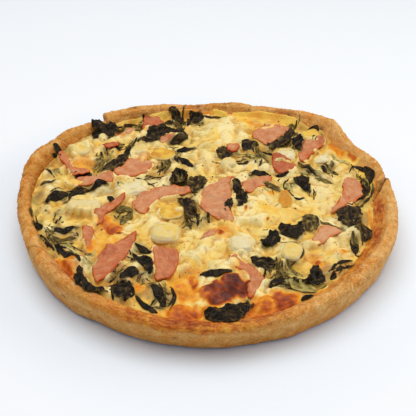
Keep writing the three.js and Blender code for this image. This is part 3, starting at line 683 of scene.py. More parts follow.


# Thin strands and small leaves baked on to the custard.

# Each one: its middle line from above, its width and its tone, from 0 for black through
# 1 for olive to 2 for the pale green of a stem. The places are chosen one by one.
strandRows = [
    ([(-6, 110), (1, 110.5), (8, 113)], 2.2, 0.4), ([(2, 112), (8, 114), (12, 115)], 1.6, 0.5),
    ([(-69, 89), (-67, 95), (-63, 98), (-60, 98)], 4.2, 0.3), ([(-66, 90), (-62, 93), (-58, 97)], 1.4, 1.2),
    ([(-56, 105), (-53, 103.5), (-50, 101.5)], 4, 0.1), ([(-63, 66), (-62, 58), (-63, 50)], 2.5, 1.0),
    ([(-84, 50), (-80, 38), (-83, 28)], 3, 0.9), ([(-78, 55), (-76, 48), (-75, 42)], 2, 1.2),
    ([(-29, 108), (-26, 98), (-22, 92)], 3, 0.7), ([(-22, 116), (-23, 111), (-24, 104)], 1.5, 0.6),
    ([(-58, 96), (-56, 91), (-55, 86)], 1.6, 0.4), ([(-57, 70), (-59, 66), (-62, 63)], 2.4, 0.2),
    ([(71, 105), (70, 101), (67, 96)], 2, 0.2), ([(73, 108), (73, 105), (72, 102)], 1.0, 0.9),
    ([(76, 90), (80, 95), (84, 97)], 2.2, 0.25), ([(83, 97), (86, 96), (88, 92)], 2.0, 0.3),
    ([(80, 95), (77, 92), (74, 89)], 2, 0.2), ([(90, 88), (89, 86), (88, 83)], 3, 0.1),
    ([(28, 60), (30, 56), (33, 52)], 2, 0.9), ([(36, 68), (38, 63), (40, 58)], 1.5, 0.6),
    ([(42, 66), (45, 63), (49, 60)], 3.5, 0.0), ([(-16, -18), (-14, -28), (-10, -38)], 2.5, 0.7),
    ([(-8, -18), (-6, -26), (-6, -34)], 2, 0.3), ([(0, -18), (1, -24), (2, -30)], 2, 0.6),
    ([(98, -38), (98, -46), (100, -55)], 2.5, 0.9), ([(103, -30), (104, -40), (104, -48)], 2, 0.6),
    ([(-21, -95), (-17, -105), (-20, -115)], 1.6, 0.3), ([(-28, -93), (-24, -104), (-26, -114)], 1.8, 0.5),
    ([(-110, -50), (-102, -60), (-97, -66)], 3, 0.2), ([(-117, -28), (-115, -35), (-112, -42)], 0.9, 0.2),
    ([(50, -49), (58, -50), (64, -55), (62, -63), (55, -69)], 1.3, 0.3),
    ([(96, -44), (96, -52), (98, -60), (102, -59)], 1.5, 0.1),
    ([(-53, -94), (-55, -102), (-54, -110)], 2, 0.05), ([(-47, -112), (-44, -104), (-46, -95)], 4, 0.1),
    ([(60, 27), (56, 20), (57, 12), (62, 4)], 1.6, 0.2), ([(50, 32), (55, 30), (60, 32)], 2.4, 0.1),
    ([(36, 32), (42, 33), (47, 30)], 3, 0.0), ([(68, 48), (74, 42), (80, 37)], 3, 0.6),
    ([(88, 48), (91, 42), (96, 34)], 1.3, 0.2), ([(109, 44), (107, 38), (105, 33)], 1.5, 0.0),
    ([(119, 22), (114, 14), (108, 2)], 2.5, 0.2), ([(120, 12), (115, 4), (110, -4)], 2, 0.4),
    ([(117, 42), (120, 35), (120, 28), (118, 21)], 6.5, 0.3), ([(108, 45), (114, 43), (119, 36)], 4, 0.2),
    ([(113, 33), (116, 26), (117, 18)], 4.5, 0.8), ([(121, 22), (120, 14), (117, 6)], 2, 0.9),
    ([(-39, 103), (-35, 102), (-31, 100)], 6, 0.3), ([(-31, 71), (-24, 74), (-17, 75)], 8, 0.35),
    ([(-25, 57), (-19, 60), (-13, 63)], 8, 0.15), ([(-24, 49), (-18, 44), (-12, 36)], 5, 0.0),
    ([(-119, 52), (-114, 48), (-111, 41)], 6, 0.0), ([(-119, 44), (-115, 44)], 3, 0.1),
    ([(-121, 27), (-118, 22), (-114, 18)], 2.5, 0.3), ([(-120, 3), (-115, 6), (-110, 11)], 2, 0.4),
    ([(-98, 18), (-92, 21), (-86, 23)], 6, 0.1), ([(-113, -13), (-107, -6), (-99, -3)], 7, 0.1),
    ([(-101, 1), (-92, 3), (-83, 1)], 4, 0.5), ([(-97, -10), (-92, -2), (-86, 4)], 9, 0.2),
    ([(-84, 2), (-78, 6), (-73, 8)], 6, 0.1), ([(-71, -6), (-66, -7)], 4, 0.1),
    ([(-63, -20), (-57, -18), (-52, -21)], 6, 0.75), ([(-58, -36), (-54, -28), (-52, -22)], 5, 1.0),
    ([(-53, 19), (-46, 14), (-38, 7)], 1.6, 0.1), ([(-46, 22), (-40, 24), (-33, 24)], 2.2, 0.2),
    ([(-33, 10), (-27, 8), (-22, 10)], 2, 0.1), ([(-37, 31), (-34, 38), (-32, 44)], 2.4, 0.9),
    ([(-33, 30), (-30, 36), (-29, 41)], 2, 0.8), ([(-115, -39), (-112, -43), (-109, -46)], 5, 0.0),
    ([(-120, -25), (-119, -31), (-117, -36)], 1.6, 0.5), ([(-101, -46), (-94, -47), (-88, -42)], 6, 0.0),
    ([(-101, -52), (-94, -55), (-86, -54)], 3.4, 0.8), ([(-98, -58), (-92, -60), (-86, -59)], 3, 1.0),
    ([(-98, -58), (-92, -68), (-82, -75), (-78, -80)], 4.5, 0.1),
    ([(-90, -64), (-83, -68), (-79, -74)], 2, 1.6), ([(-46, -57), (-40, -61), (-35, -66)], 5.5, 0.1),
    ([(-32, -96), (-27, -104), (-23, -113)], 5.5, 0.0), ([(-41, -105), (-34, -113), (-27, -118)], 4, 0.1),
    ([(-20, -98), (-18, -106), (-21, -112)], 1.6, 0.4), ([(-3, -84), (6, -83), (17, -83)], 5.5, 0.15),
    ([(21, 45), (26, 42), (30, 46)], 5, 0.1), ([(40, 19), (45, 15), (50, 11)], 5, 0.8),
    ([(57, 20), (58, 16), (59, 11)], 4.5, 1.3), ([(62, 3), (66, 0), (70, 4)], 2, 0.2),
    ([(86, 47), (87, 42), (89, 38)], 3.4, 0.1), ([(89, 44), (93, 39), (97, 32)], 2.4, 1.0),
    ([(70, 42), (76, 37), (82, 31)], 2, 0.0), ([(80, 28), (86, 26), (92, 22)], 2.6, 0.9),
    ([(32, 27), (38, 29), (43, 30)], 6, 0.0), ([(114, 28), (115, 16), (111, 4)], 6, 0.25),
    ([(110, 45), (108, 35)], 1.8, 0.0), ([(107, -25), (109, -35), (106, -44)], 6, 0.35),
    ([(99, -50), (97, -59)], 5, 0.1), ([(78, -25), (84, -28), (90, -32)], 3, 0.7),
    ([(95, -65), (86, -68), (78, -78)], 2.2, 0.1), ([(96, -69), (88, -72), (80, -79)], 2, 0.15),
    ([(79, -82), (83, -79)], 4, 0.2), ([(59, -103), (63, -100), (67, -98)], 4, 0.0),
    ([(45, -66), (49, -76), (56, -91)], 3, 0.9), ([(52, -66), (56, -74), (58, -82)], 2.6, 0.8),
    ([(50, -80), (46, -88), (40, -96)], 5.5, 0.15), ([(52, -88), (60, -91), (69, -94)], 9, 1.3),
    ([(14, 56), (24, 58), (36, 58)], 2, 1.6), ([(37, 62), (43, 56), (46, 50)], 3, 0.9),
    ([(40, 52), (47, 45), (52, 40)], 2.6, 1.7), ([(95, 55), (101, 50), (106, 44)], 3.5, 1.6),
    ([(62, 100), (66, 102), (70, 101)], 3, 0.9),
]

# Where the leaves are torn to shreds: x, y, half width, half depth, heading, number, tone.
shredPatches = [
    (-64, 46, 5, 10, 70, 10, 0.9), (-82, 42, 4, 12, 80, 13, 0.9), (-80, 54, 5, 5, 100, 6, 0.3),
    (-62, 58, 3, 8, 85, 8, 1.0), (-66, 64, 12, 4, 30, 10, 0.5), (-72, 98, 4, 7, 75, 7, 0.6),
    (-60, 97, 4, 9, 95, 8, 0.5), (-57, 86, 3, 10, 100, 6, 0.1), (-25, 98, 6, 10, 75, 15, 0.5),
    (-12, 103, 5, 7, 50, 8, 0.8), (-27, 84, 5, 3, 20, 4, 0.9), (-34, 36, 5, 9, 80, 12, 0.5),
    (-30, 62, 6, 4, 30, 5, 0.7), (-24, 53, 3, 8, 100, 5, 0.2), (-10, -28, 9, 6, 75, 14, 0.6),
    (-12, 5, 6, 10, 60, 5, 0.8), (30, 55, 10, 6, 20, 12, 0.9), (40, 50, 5, 10, 60, 10, 0.7),
    (33, 68, 6, 5, 60, 8, 0.3), (62, 72, 6, 8, 60, 12, 0.6), (70, 100, 6, 7, 60, 11, 0.7),
    (76, 92, 4, 6, 45, 5, 0.3), (91, 88, 3, 6, 70, 5, 0.5), (80, 34, 10, 4, -35, 13, 0.9),
    (93, 38, 5, 8, -55, 8, 0.5), (116, 26, 5, 16, 70, 22, 0.6), (107, -2, 6, 4, 30, 5, 0.3),
    (60, 14, 5, 7, -70, 7, 0.6), (45, 14, 5, 5, -50, 5, 0.9), (77, 7, 3, 6, 80, 5, 0.6),
    (103, -30, 4, 10, 80, 14, 0.6), (99, -50, 3, 8, 80, 6, 0.7), (86, -72, 9, 4, 35, 9, 0.4),
    (45, -76, 9, 9, 70, 24, 0.7), (56, -76, 4, 8, -70, 8, 0.9), (50, -91, 10, 4, 20, 13, 0.7),
    (67, -90, 6, 3, 15, 5, 0.9), (-57, -24, 6, 9, 75, 12, 0.6), (-106, -50, 4, 11, -55, 16, 0.5),
    (-91, -66, 9, 5, -40, 14, 0.6), (-92, -50, 8, 6, 0, 8, 0.6), (-102, -36, 5, 5, 60, 5, 0.5),
    (-73, -72, 3, 11, -65, 7, 1.2), (-45, -66, 6, 8, -55, 8, 0.5), (-53, -84, 4, 8, 60, 8, 0.5),
    (-55, -97, 5, 9, 75, 8, 0.4), (-40, -92, 6, 7, 20, 5, 0.5), (-25, -103, 4, 9, 100, 9, 0.5),
    (-30, -113, 7, 3, 10, 5, 0.3), (-104, -2, 8, 5, 30, 6, 0.7), (-92, -2, 6, 5, 50, 5, 0.3),
    (-113, 22, 4, 7, -50, 6, 0.5), (-40, 22, 8, 4, 20, 4, 0.4), (27, -110, 3, 5, 60, 5, 0.7),
    (37, 30, 5, 4, 10, 4, 0.2), (-60, 8, 5, 8, -60, 4, 0.8), (-60, -10, 40, 60, 60, 8, 0.5),
    (40, 10, 50, 50, 30, 9, 0.6), (45, -60, 35, 35, 60, 6, 0.5),
]
shreds = {
    "seed": 17, "length": (3.5, 10), "width": (0.6, 2.1), "turn": 24, "bend": 0.25, "toneSpread": 0.45,
    "wall": 117,        # how far out a shred may reach, but on the right, where it may hang over
    "ribbon": {"thickness": 0.4, "lift": 0.15, "crinkle": 0.5, "cup": 0.02, "across": 4},
}
strand = {
    "step": 0.7, "streaks": 0.55,
    "ribbon": {"thickness": 0.45, "lift": 0.35, "crinkle": 0.45, "cup": 0.10, "across": 7},
}


# Places along a line at even steps, whose number is worked out from its length.
def evenSteps(line, countSteps, closed=False):
    travelled = np.concatenate([[0], np.cumsum(np.hypot(*np.diff(line, axis=0).T))])
    places = np.linspace(0, travelled[-1], countSteps(travelled[-1]), endpoint=not closed)
    return np.stack([np.interp(places, travelled, line[:, axis]) for axis in (0, 1)], 1)


# A smooth line through a few points.
def smoothLine(points, step):
    points = np.asarray(points, float)
    ends = np.vstack([2 * points[0] - points[1], points, 2 * points[-1] - points[-2]])
    dense = []
    for i in range(len(points) - 1):
        a, b, c, d = ends[i:i + 4]
        for t in np.linspace(0, 1, 16, endpoint=False):
            dense.append(0.5 * (2 * b + (c - a) * t + (2 * a - 5 * b + 4 * c - d) * t * t
                                + (3 * b - a - 3 * c + d) * t ** 3))
    return evenSteps(np.array(dense + [points[-1]]), lambda length: max(4, round(length / step) + 1))


def drawShreds():
    random = np.random.default_rng(shreds["seed"])
    rows = []
    for x, y, halfWidth, halfDepth, heading, number, tone in shredPatches:
        for _ in range(number):
            turn, reach = random.uniform(0, 2 * math.pi), math.sqrt(random.uniform(0, 1))
            middle = np.array([x + halfWidth * reach * math.cos(turn),
                               y + halfDepth * reach * math.sin(turn)])
            angle = math.radians(heading + random.normal(0, shreds["turn"]))
            along = np.array([math.cos(angle), math.sin(angle)]) * random.uniform(*shreds["length"]) / 2
            aside = np.array([-along[1], along[0]]) * random.normal(0, shreds["bend"])
            path = [middle - along, middle + aside, middle + along]
            reach = max(math.hypot(*point) for point in path)
            if reach > shreds["wall"] and x < 100:
                path = [point * shreds["wall"] / reach for point in path]
            shade = min(max(random.normal(tone, shreds["toneSpread"]), 0), 1.9)
            rows.append(([tuple(point) for point in path], random.uniform(*shreds["width"]), shade))
    return rows


# Marks the cells under every strand, so that the custard can stain, take painted shade and rise round them.
shredRows = drawShreds()
strandMask = np.zeros((cells, cells))
for path, width, tone in strandRows + shredRows:
    half = width / 2
    for x, y in smoothLine(path, 1.0):
        near = window(x - half, y - half, x + half, y + half)
        covered = np.hypot(planX[near] - x, planY[near] - y) < half
        strandMask[near][covered] = min(1.0, 1.3 - 0.4 * tone)


# Custard.

custard = {
    "rings": 178, "floor": 4.35, "foot": 8.0, "film": 0.7, "rimDrop": 1.5,
    # How it meets the toppings: how deep each lies in it, and how far it rises round and over them.
    "embed": {"ham": 0.9, "leaf": 0.1, "chunk": 0.0}, "nearby": {"ham": 2.0, "leaf": 2.0, "chunk": 1.7},
    "highestLift": {"ham": 2.6, "leaf": 2.6, "chunk": 4.6}, "chunkSkirt": 0.46, "skirtRagged": 0.8,
    "creep": 0.6, "over": {"ham": 0.3, "chunk": 1.1},        # how it creeps over their edges
    # Its relief: height or depth of each kind, with its size or number.
    "mound": 1.0, "marble": 1.0, "curd": 1.2, "curdSize": 3.0, "swell": 0.5, "swellSize": 6.0,
    "grit": 0.08, "gritSize": 0.9, "creaseDepth": 0.8, "creaseSize": 6.0, "creaseWidth": 0.06,
    "pits": 1100, "pitDepth": 0.7,
    # How far the custard clings up the pastry wall: angle, height, reach outwards.
    "cling": [
        (-180, 0, 2.5), (-120, 0, 2.5), (-90, 1, 2.5), (-60, 1, 2.5), (-28, 1, 2.5), (-14, 1.5, 3),
        (0, 2, 3.5), (6, 3.5, 6), (12, 5.5, 9.5), (25, 5.5, 9), (34, 3, 5), (50, 3, 8), (58, 5, 7),
        (66, 6, 5.5), (75, 6.5, 4.4), (90, 6.5, 3.8), (100, 6, 3.4), (115, 4.5, 3.6), (126, 3, 3),
        (150, 0, 2.5),
    ],
}

bakedTints = {
    "cream": (248, 222, 136), "white": (250, 233, 172), "butter": (247, 210, 104), "honey": (245, 188, 60),
    # paintedLightYellow is painted light: a yellow lighter than the film's own, for the shaded wall at the
    # back.
    "paintedLightYellow": (255, 212, 90), "orange": (224, 126, 20), "rust": (186, 84, 32), "tan": (186, 130, 58),
    "olive": (130, 106, 48), "moss": (78, 64, 28), "grey": (212, 190, 116), "pastry": (204, 144, 70),
    # Browned custard, by how much heat it had.
    "roasted": [(0.0, (248, 206, 100)), (0.3, (246, 188, 66)), (0.45, (238, 152, 34)),
                (0.58, (210, 112, 30)), (0.7, (178, 80, 24)), (0.84, (142, 60, 24)),
                (1.0, (114, 44, 18)), (1.2, (80, 28, 14))],
}

# Streaks in the custard: tint, strength, seed, size and pull of its swirls, start and full value.
broadStreaks = [("butter", 0.75, 61, 4.5, 3.0, -0.4, 1.0), ("white", 0.6, 62, 3.5, 3.0, 0.3, 1.6)]
fineStreaks = [("honey", 0.6, 63, 2.6, 3.0, 0.6, 1.8), ("grey", 0.5, 64, 2.4, 3.0, 0.6, 1.6),
               ("tan", 0.5, 65, 1.6, 2.5, 1.0, 2.0), ("cream", 0.5, 60, 1.6, 2.5, 0.9, 2.0)]

# Patches of colour in the custard: x, y, half width, half depth, turn, strength.
custardPatches = {
    "white": [
        (10, 95, 12, 15, 0, 0.9), (14, 80, 9, 9, 0, 0.8), (-3, 44, 10, 13, 0, 0.5),
        (31, -25, 10, 8, 0, 1.0), (-37, 13, 9, 8, 0, 0.9), (-10, -66, 8, 7, 0, 0.5),
        (10, -72, 8, 6, 0, 0.7), (60, -52, 9, 6, -20, 0.7), (101, 40, 3, 9, 10, 0.6),
        (-93, 56, 8, 7, 0, 0.6), (-30, 107, 5, 3, 0, 0.6), (33, 44, 6, 5, 0, 0.6), (-48, 70, 11, 4, 0, 0.6),
        (84, -53, 8, 7, 0, 0.5), (-66, 74, 8, 6, 0, 0.4), (44, 40, 5, 4, 0, 0.6), (-57, -2, 9, 5, 0, 0.6),
        (62, 35, 7, 4, -20, 0.7), (80, 25, 7, 4, -20, 0.6), (20, 80, 6, 8, 0, 0.5), (82, 12, 8, 13, 0, 0.8),
        (88, -6, 9, 5, 20, 0.6), (113, 38, 3, 8, 10, 0.8), (62, 12, 4, 5, 0, 0.6), (104, -52, 3, 7, 0, 0.5),
        (-90, 24, 5, 3, 0, 0.6), (30, 0, 7, 3, 0, 0.7),
    ],
    "butter": [
        (4, 84, 3, 13, 0, 0.9), (-15, 70, 8, 9, 0, 0.5), (0, -55, 19, 5, 0, 0.9), (-44, -40, 6, 13, 0, 0.7),
        (-108, 17, 6, 8, 0, 0.6), (97, 12, 2.5, 10, 0, 0.6), (-20, 33, 10, 6, 0, 0.5),
        (0, 25, 8, 6, 0, 0.4), (82, 90, 8, 9, 20, 0.8), (-70, 66, 16, 3, 0, 0.7), (60, 8, 14, 5, 0, 0.5),
        (-60, 60, 9, 4, 0, 0.5), (40, -12, 10, 6, 0, 0.5), (-100, 55, 4, 9, 0, 0.5),
        (30, -42, 18, 4, 0, 0.7), (62, 104, 8, 6, 0, 0.8),
    ],
    "honey": [
        (-87, 64, 4, 3, 0, 0.7), (-110, -14, 8, 5, 0, 0.7), (-80, -27, 5, 8, 0, 0.6),
        (-68, -60, 8, 10, 0, 0.8), (-41, -48, 5, 4, 0, 0.7), (-10, -76, 7, 5, 0, 0.7),
        (12, -38, 14, 8, 0, 0.8), (46, -11, 6, 4, 0, 0.7), (69, -11, 5, 4, 0, 0.8),
        (105, 42, 7, 10, 0, 0.7), (88, 67, 5, 10, -40, 0.8), (37, 6, 7, 2, 0, 0.6), (58, -12, 9, 4, 0, 0.7),
        (105, 47, 6, 6, 20, 0.8), (52, 108, 14, 7, -10, 0.9), (44, 112, 20, 9, 0, 1.0),
        (-45, 53, 9, 4, 0, 0.7), (-42, 113, 6, 5, 0, 0.8), (-98, 8, 7, 5, 0, 0.6), (93, -60, 8, 4, 0, 0.5),
        (-60, -52, 7, 12, -25, 0.8), (-20, -92, 6, 14, 0, 0.9), (-27, -14, 9, 3, 15, 0.8),
        (15, 116, 8, 3, 0, 0.8), (-75, 62, 9, 3, 10, 0.5), (-92, 35, 9, 8, 0, 1.0),
        (-55, 43, 10, 4, 15, 0.9), (-40, -100, 8, 9, 0, 1.0), (-62, -38, 8, 11, 20, 1.0),
        (22, -80, 5, 9, 0, 0.9), (-92, -78, 9, 9, -45, 0.9), (73, -60, 5, 11, 10, 0.8),
        (84, -59, 6, 4, 0, 0.8), (-106, -26, 8, 4, 0, 0.5), (-9, 55, 4, 6, 0, 0.3),
        (-48, -20, 4, 8, 0, 0.6), (100, 62, 8, 9, 40, 0.9), (-112, 30, 4, 6, 0, 0.5),
    ],
    "orange": [
        (50, 113, 7, 3, 0, 0.5), (37, 106, 6, 4, 0, 0.7), (16, 117, 6, 2.5, 0, 0.9),
        (-96, 35, 7, 5, 0, 0.6), (-52, 45, 8, 3, 20, 0.6), (-67, -36, 5, 6, 20, 0.7),
        (10, -40, 6, 4, 0, 0.9), (72, -66, 4, 7, 10, 0.7), (85, -58, 5, 3, 0, 0.6), (-8, -82, 9, 4, 0, 0.7),
        (-88, -80, 8, 6, -45, 0.8), (-40, -97, 5, 5, 0, 0.6), (106, 56, 3, 5, 30, 0.6),
        (-60, -62, 4, 5, 0, 0.5), (-19, -100, 4, 12, 0, 0.5), (24, -82, 3, 7, 0, 0.6),
        (-74, 78, 5, 3, 0, 0.8), (-27, -12, 7, 1.6, 15, 0.6), (68, -96, 10, 4, 35, 0.7),
    ],
    "grey": [
        (-88, 75, 5, 5, 0, 0.8), (-56, 60, 5, 7, 0, 0.6), (-12, 88, 5, 8, 0, 0.6), (-5, 66, 4, 4, 0, 0.8),
        (-104, -27, 7, 5, 0, 0.8), (-8, -70, 8, 5, 0, 0.7), (-20, -30, 12, 3, 0, 0.4),
        (57, 58, 9, 8, 0, 0.7), (76, 33, 9, 4, -30, 0.7), (65, 8, 5, 6, 0, 0.6), (-63, 103, 5, 5, 0, 0.7),
        (-62, 12, 7, 4, 0, 0.5), (43, 60, 6, 5, 0, 0.6), (56, -74, 7, 7, 0, 0.6), (-50, 30, 6, 3, 0, 0.5),
        (-84, 6, 10, 4, 0, 0.4), (95, 20, 5, 4, 0, 0.5), (-30, 62, 7, 4, 0, 0.5), (28, -28, 4, 5, 0, 0.4),
    ],
    "tan": [
        (23, 92, 2, 6, 0, 0.6), (33, 91, 4, 4, 0, 0.7), (20, 100, 2, 5, 20, 0.6), (-20, 112, 5, 8, 10, 0.6),
        (-118, -8, 4, 12, 0, 0.4), (-114, 26, 4, 9, 0, 0.4), (-86, -42, 6, 10, -30, 0.5),
        (75, 103, 8, 8, 0, 0.8), (-96, -54, 7, 6, 0, 0.8), (-56, -92, 7, 14, -35, 0.9),
        (-20, -104, 7, 12, 10, 0.7), (95, 93, 4, 7, 0, 0.9), (-34, 34, 5, 9, 0, 0.7),
        (-74, -66, 4, 8, 0, 0.7), (102, -46, 4, 10, 0, 0.6), (80, -76, 10, 4, 40, 0.9),
        (-12, -84, 4, 4, 0, 0.5), (-38, 20, 3, 6, 0, 0.3), (22, 60, 5, 4, 0, 0.5), (-3, 38, 2, 7, 10, 0.5),
        (-42, 78, 6, 3, 0, 0.7), (-103, 66, 4, 9, -30, 0.8), (-50, -88, 16, 9, -30, 0.8),
        (-35, -98, 9, 7, 0, 0.7), (-73, 90, 4, 4, 0, 0.6), (48, 20, 5, 6, 0, 0.5),
    ],
    "olive": [
        (-113, 18, 4, 9, 0, 0.4), (-117, -20, 2, 9, 0, 0.4), (-95, -52, 10, 7, 0, 0.6),
        (-52, -88, 5, 10, -30, 0.8), (-10, -30, 10, 8, 0, 0.8), (73, 104, 6, 7, 0, 0.8),
        (35, 60, 7, 5, 0, 0.8), (100, -44, 4, 12, 0, 0.7), (50, -80, 7, 10, 0, 0.8),
        (57, -91, 10, 5, 0, 0.9), (76, 38, 9, 2.5, -32, 0.8), (47, 15, 5, 4, 0, 0.7),
        (-84, 40, 3, 11, 15, 0.7), (-34, 37, 3, 7, 0, 0.6), (-57, -28, 6, 9, 0, 0.7),
        (-24, -104, 5, 10, 10, 0.8), (113, 10, 4, 18, 0, 0.8), (-26, 98, 4, 8, 0, 0.7),
        (-62, 58, 2.5, 7, 0, 0.8), (60, 18, 5, 4, 0, 0.6), (-68, 3, 5, 4, 0, 0.5), (8, -16, 3, 4, 0, 0.5),
        (-104, -2, 6, 4, 0, 0.6), (92, 40, 4, 8, -30, 0.6), (-80, 50, 6, 4, 0, 0.6),
        (-70, 28, 3, 6, 0, 0.5), (28, 48, 6, 4, 0, 0.5), (-90, 20, 7, 3, 0, 0.5), (62, 66, 4, 4, 0, 0.7),
        (-45, -62, 5, 7, 0, 0.6), (-104, -66, 3, 9, 40, 0.6), (-66, -78, 6, 12, -40, 0.6),
        (105, -24, 4, 8, 0, 0.7),
    ],
    "rust": [
        (-97, -55, 6, 3, 10, 0.7), (-89, -58, 3, 5, -20, 0.6), (-78, -70, 3, 5, -40, 0.5),
        (-105, 30, 3, 4, 0, 0.4), (-30, 92, 4, 2, 30, 0.5), (58, 98, 3, 3, 0, 0.5), (94, 80, 3, 4, 0, 0.5),
    ],
}

# Where the custard has browned, from 0.3 for golden to 1 for dark red-brown.
brownedSpots = [
    (18, -95, 10, 9, 0, 0.97), (8, -97, 8, 7, 0, 1.0), (12, -105, 9, 6, 15, 0.88), (2, -99, 5, 6, 0, 0.8),
    (-7, -91, 4, 10, 5, 0.68), (-12, -97, 11, 16, 0, 0.5), (-11, -118, 12, 9, 0, 0.66),
    (-11, -124, 11, 5, 0, 0.72), (-4, -117, 26, 7, 0, 0.46), (-93, -80, 9, 8, -45, 0.58),
    (-86, -89, 10, 5, -45, 0.62), (-68, -58, 8, 14, -25, 0.4), (42, -108, 19, 9, 28, 0.64),
    (30, -113, 7, 6, 18, 0.7), (-83, -76, 4, 3, 0, 0.76), (-88, -82, 7, 6, -45, 0.55),
    (-62, -41, 6, 6, 20, 0.58), (-58, -45, 3, 1.5, 20, 0.8), (-69, -35, 5, 5, 0, 0.5),
    (9, -40, 3.5, 2.5, 0, 0.72), (16, 117, 3, 1.5, 0, 0.66), (-73, 81, 2, 1.5, 0, 0.72),
    (72, -67, 3, 5, 10, 0.5), (90, -57, 4, 2.5, 0, 0.5), (110, 57, 3, 6, 30, 0.58),
    (97, 72, 3, 5, 10, 0.46), (103, 64, 4, 6, 40, 0.46), (-40, -99, 4, 4, 0, 0.46),
    (113.5, -20, 1.2, 22, -4, 0.45), (107, -62, 3, 14, -30, 0.56), (74, -97, 16, 4, 35, 0.5),
    (-13, -126, 30, 4, 0, 0.6), (-62, -111, 12, 3, -28, 0.5), (57, 104, 1, 3, 0, 0.76),
    (45, 104, 1, 4, 0, 0.8), (-8, -84, 6, 3, 0, 0.5), (46, 8, 5, 3, 0, 0.42), (42, -24, 1, 2.5, -20, 0.7),
    (27, -14, 1.2, 3, -10, 0.85), (-75, -62, 3, 8, 0, 0.45),
]

# Custard that has run over the edge of any topping: x, y, half width, half depth, turn.
custardOverruns = [
    (59, 46.5, 7.5, 1.1, -8), (86.5, 61, 15, 4.5, 58), (-100, 8, 6, 5, 0), (-92, -28, 11, 5, 0),
    (13, -33, 6, 4, -20), (-51, 84, 3, 5, 0), (18, -72, 4, 3, -40), (72, -50, 6, 3, 20),
    (-76, -38, 5, 5, 0), (-26, 60, 7, 3, 0), (22, 22, 3, 3, 0), (-78, -66, 3, 5, 0), (22, -66, 4, 2, -40),
    (-36, 9, 5, 2, 30), (-86, -11, 9, 2, 0), (-46, 8, 3, 6, 0), (79, 78, 7, 3, 0), (46, 96, 5, 2, 20),
    (-52, 50, 3, 7, 0),
]

# The same, over potato and onion only.
chunkOverruns = [
    (61, 59, 8, 4, 10), (-57, 11, 6, 3, 30), (-99, 57, 7, 4, 0), (56, -63, 5, 3, 0), (-30, -40, 4, 3, 0),
    (94, 57, 5, 3, 20), (-88, -13, 6, 3, 0), (12, 45, 4, 3, 0),
]


# A noise map whose hills are drawn out and curled by another one.
def swirlMap(seed, size, pull):
    bentX = planX + pull * noiseMap(seed + 100, size * 2.5)
    bentY = planY + pull * noiseMap(seed + 200, size * 2.5)
    return sampleMap(noiseMap(seed, size), bentX, bentY)


ragged = 0.16 * noiseMap(11, 2.2) + 0.14 * noiseMap(12, 5.0) + 0.06 * noiseMap(13, 0.9)
lift = np.zeros((cells, cells))
for kind, cover in covers.items():
    near = blurMap(cover["mask"].astype(float), custard["nearby"][kind])
    goal = cover["under"] + custard["embed"][kind]
    if kind == "chunk":
        goal += custard["chunkSkirt"] * (cover["top"] - cover["under"])
        goal += custard["skirtRagged"] * noiseMap(24, 2.6)
    rise = (goal - plainTop) * smoothStep(near + 0.10 * noiseMap(21, 2.0), 0.1, 0.6)
    lift = np.maximum(lift, np.minimum(rise, custard["highestLift"][kind]))

# Height: curds and swells, fine creases, blisters where it browned, pits and overruns.
browned = spotMap(brownedSpots, ragged)
smoothness = spotMap(custardPatches["white"], ragged, soft=0.6)
curds = np.abs(swirlMap(33, custard["curdSize"], 2.0))
marble = np.clip(swirlMap(39, 4.5, 5.0), -1.6, 1.6)        # cream on top, yellow in the hollows
folds = np.exp(-(swirlMap(31, custard["creaseSize"], 4.0) / custard["creaseWidth"]) ** 2)
folds *= smoothStep(noiseMap(32, 9.0), -0.7, 0.6)
custardMap = (plainTop + lift + custard["curd"] * (curds - 0.8) * (1 - 0.5 * smoothness)
              + custard["swell"] * noiseMap(34, custard["swellSize"])
              + custard["mound"] * smoothness + custard["marble"] * marble
              + custard["grit"] * noiseMap(35, custard["gritSize"]) - custard["creaseDepth"] * folds)
blister = smoothStep(browned, 0.45, 0.85)
custardMap += blister * (1.0 + 0.35 * noiseMap(36, 3.2) - 0.35 * np.exp(-(noiseMap(37, 2.0) / 0.2) ** 2))
custardMap += 0.3 * blurMap(strandMask, 1.2)
overrun = spotMap([(*spot, 1.0) for spot in custardOverruns], ragged * 1.6)
hamMask = covers["ham"]["mask"].astype(float)
creeping = hamMask * smoothStep(-blurMap(hamMask, 1.5), -0.85, -0.7)
creeping *= smoothStep(noiseMap(97, 3.5), custard["creep"], custard["creep"] + 0.5)
overrun = np.maximum(overrun, creeping)
chunkOverrun = np.maximum(overrun, spotMap([(*spot, 1.0) for spot in chunkOverruns], ragged * 2))
for kind, over in (("ham", overrun), ("chunk", chunkOverrun)):
    share = blurMap(over * covers[kind]["mask"], 0.5)
    custardMap += share * np.maximum(0, covers[kind]["top"] + custard["over"][kind] - custardMap)

pitMap = np.zeros((cells, cells))
pitRandom = np.random.default_rng(7)
for _ in range(custard["pits"]):
    x, y = pitRandom.uniform(-118, 118, 2)
    size = pitRandom.uniform(0.3, 1.1)
    near = window(x - 3, y - 3, x + 3, y + 3)
    pitMap[near] += np.exp(-(np.hypot(planX[near] - x, planY[near] - y) / size) ** 2)
pitMap = np.minimum(pitMap, 1)
custardMap -= custard["pitDepth"] * pitMap

# Clinging up the wall of the crust.
sector = ((planAngle % 360) / 360 * crust["sectors"]).astype(int) % crust["sectors"]
step = (planReach + custard["film"] - crustReach[0]) / (crustReach[1] - crustReach[0])
before, after = (crustTable[sector, np.clip(step.astype(int) + k, 0, len(crustReach) - 1)] for k in (0, 1))
crustTop = before + np.clip(step % 1, 0, 1) * (after - before) + 0.3
crustTop = np.where((step < 0) | (crustTop < 15), np.nan, crustTop)
clingAngles, clingHeights, clingReach = zip(*custard["cling"], (180, 0, 2.5))
planCling = np.interp(planAngle, clingAngles, clingHeights)
climb = np.minimum(crustTop, plainTop + planCling * (1 + 0.22 * noiseMap(38, 5.0)))
onWall = ~custardMask & np.isfinite(crustTop)
custardMap = np.where(onWall, np.maximum(climb, plainTop - 1), custardMap)
surfaceMap = np.where(onWall, np.maximum(crustTop, custardMap), custardMap)
